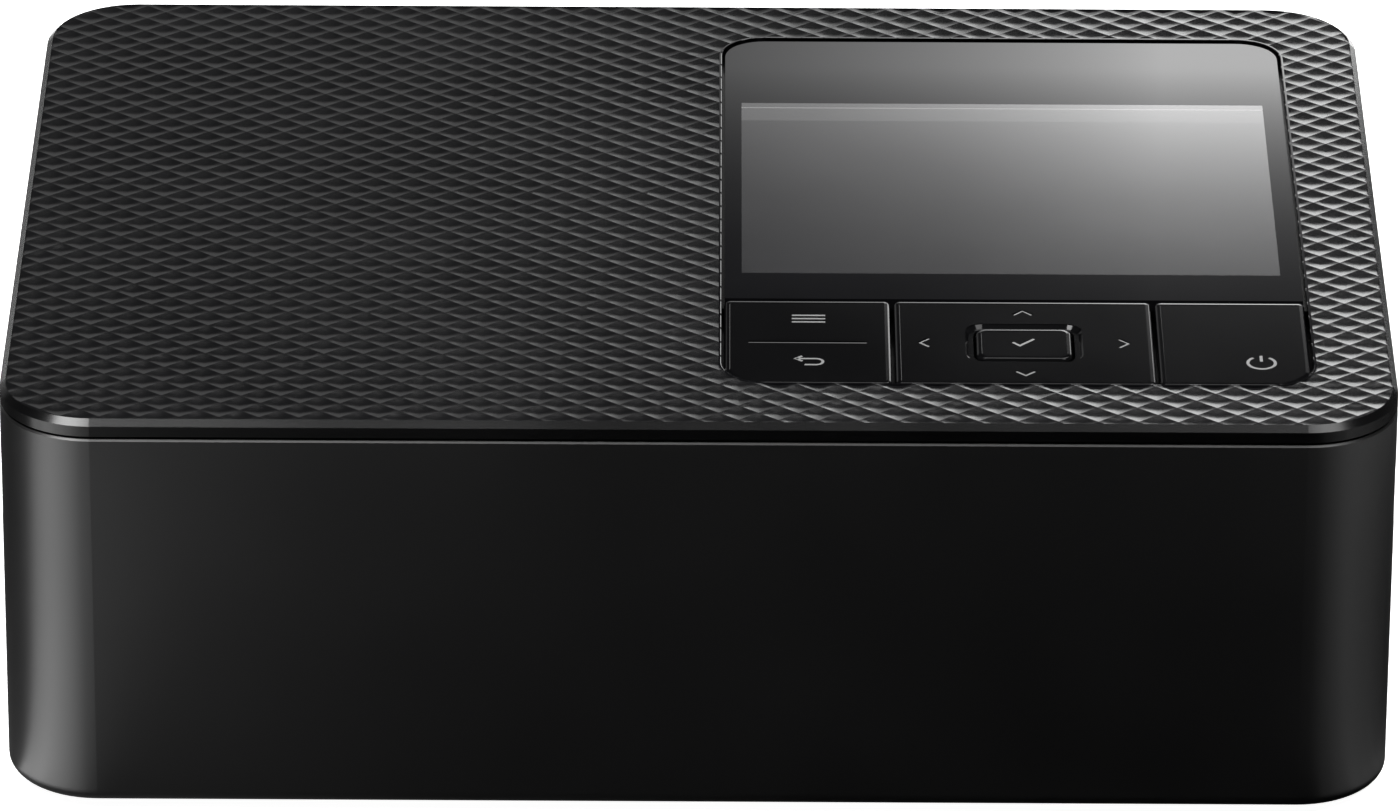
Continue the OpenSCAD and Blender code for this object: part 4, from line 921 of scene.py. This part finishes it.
# %% Helpers for graded cards
def graded(name, fades):
    """Light whose exponent goes, for each axis, from one value to another between two places."""
    made = bpy.data.materials.new(name)
    made.use_nodes = True
    nodes, links = made.node_tree.nodes, made.node_tree.links
    nodes.clear()
    place = nodes.new("ShaderNodeTexCoord")
    axes = nodes.new("ShaderNodeSeparateXYZ")
    links.new(place.outputs["Object"], axes.inputs["Vector"])
    total = nodes.new("ShaderNodeMath")
    total.inputs[1].default_value = 0.0
    for i, (axis, start, end, first, last) in enumerate(fades):
        slope = nodes.new("ShaderNodeMapRange")
        slope.inputs["From Min"].default_value = start
        slope.inputs["From Max"].default_value = end
        slope.inputs["To Min"].default_value = first
        slope.inputs["To Max"].default_value = last
        links.new(axes.outputs[axis], slope.inputs["Value"])
        links.new(slope.outputs["Result"], total.inputs[i])
    rise = nodes.new("ShaderNodeMath")
    rise.operation = "EXPONENT"
    links.new(total.outputs[0], rise.inputs[0])
    glow = nodes.new("ShaderNodeEmission")
    links.new(rise.outputs[0], glow.inputs["Strength"])
    out = nodes.new("ShaderNodeOutputMaterial")
    links.new(glow.outputs[0], out.inputs["Surface"])
    return made


def card(name, corners, fades):
    """A flat card that only reflections see."""
    mesh = bpy.data.meshes.new(name)
    mesh.from_pydata(corners, [], [tuple(range(len(corners)))])
    made = bpy.data.objects.new(name, mesh)
    bpy.context.scene.collection.objects.link(made)
    finish_with(made, graded(name, fades))
    made.visible_camera = False
    made.visible_diffuse = False
    made.visible_shadow = False
    return made


def upright(x, y, top):
    """The corners of a card that stands on the floor, from one x to another."""
    return [(x[0], y, 0), (x[1], y, 0), (x[1], y, top), (x[0], y, top)]


def lying(x, y, z):
    """The corners of a card that lies flat at height z, from one x and y to another."""
    return [(x[0], y[0], z), (x[1], y[0], z), (x[1], y[1], z), (x[0], y[1], z)]


print("cards ready")

# %% [markdown]
# The back card is bright low down, dark above, and brighter on the right than on the left. The
# window and the keys mirror it. Right of it stands a low dark flag, which keeps the bright floor
# out of the reflections there. The front card is a dark cloth on the floor. Without it the front
# would mirror the white floor and look grey; it glows a little on the left, where the real front
# is lighter.

# %% Stand and lay the wide cards
BACK_Y = 0.35
BACK_X = (-0.6, 0.22)
BACK_TOP = 0.6
FLAG_X = (0.22, 0.8)
FLAG_TOP = 0.14
FRONT_X = (-0.7, 0.24)
FRONT_Y = (-0.8, 0.15)
FRONT_Z = 0.0004
back_card = card("back_card", upright(BACK_X, BACK_Y, BACK_TOP),
                 [("Z", 0.195, 0.29, -0.03, -7.2), ("X", -0.03, 0.078, -1.0, 1.4)])
front_card = card("front_card", lying(FRONT_X, FRONT_Y, FRONT_Z),
                  [("X", -0.07, 0.1, -1.7, -5.2), ("Y", -0.06, 0.0, 0, -1.2)])
right_flag = card("right_flag", upright(FLAG_X, BACK_Y, FLAG_TOP), [("X", 0, 1, -3.5, -3.5)])
print("wide cards:", [one.name for one in (back_card, front_card, right_flag)])

# %% [markdown]
# A rounded corner squeezes the reflection of half the room into a narrow strip. Round each front
# corner a fan of cards lies on the front card, and each of them shows as one upright stripe of the
# corner. A step gives the directions, in degrees from straight ahead to the side, between which a
# card lies, and its exponent. From a low viewpoint a wall mirrors the floor farther out, so the
# right fan is short: beyond it the side still mirrors the white floor, and stands out from the
# front.

# %% Lay a fan of cards round each front corner
CORNER_R = 12.3 * MM
FAN_START = 1.2 * CORNER_R
FAN_Z = 0.0008
FAN_PARTS = 4
LEFT_REACH = 0.35
RIGHT_REACH = 0.19
LEFT_STEPS = [(2, 9, -0.8), (9, 16, 0.2), (16, 24, 0.7), (24, 34, 1.1), (34, 46, 1.35),
              (46, 60, 1.55), (60, 76, 1.25)]
RIGHT_STEPS = [(20, 34, -1.4), (34, 48, -0.8), (48, 60, -0.4), (60, 74, -0.7), (74, 90, -1.1),
               (90, 104, -1.7), (104, 122, -2.5), (122, 150, -3.5)]


def fan(name, side, reach, first, last, strength):
    """An even card beside a front corner, on the left (side -1) or on the right (side 1)."""
    corner = Vector((side * (cad_high.x - CORNER_R), cad_low.y + CORNER_R, FAN_Z))
    turns = [math.radians(first + (last - first) * i / FAN_PARTS) for i in range(FAN_PARTS + 1)]
    ways = [Vector((side * math.sin(t), -math.cos(t), 0)) for t in turns]
    outline = [corner + way * reach for way in ways]
    outline += [corner + way * FAN_START for way in ways[::-1]]
    return card(name, outline, [("X", 0, 1, strength, strength)])


fans = [fan(f"left_card_{i}", -1, LEFT_REACH, *step) for i, step in enumerate(LEFT_STEPS, 1)]
fans += [fan(f"right_card_{i}", 1, RIGHT_REACH, *step) for i, step in enumerate(RIGHT_STEPS, 1)]
print("fan cards:", [one.name for one in fans])
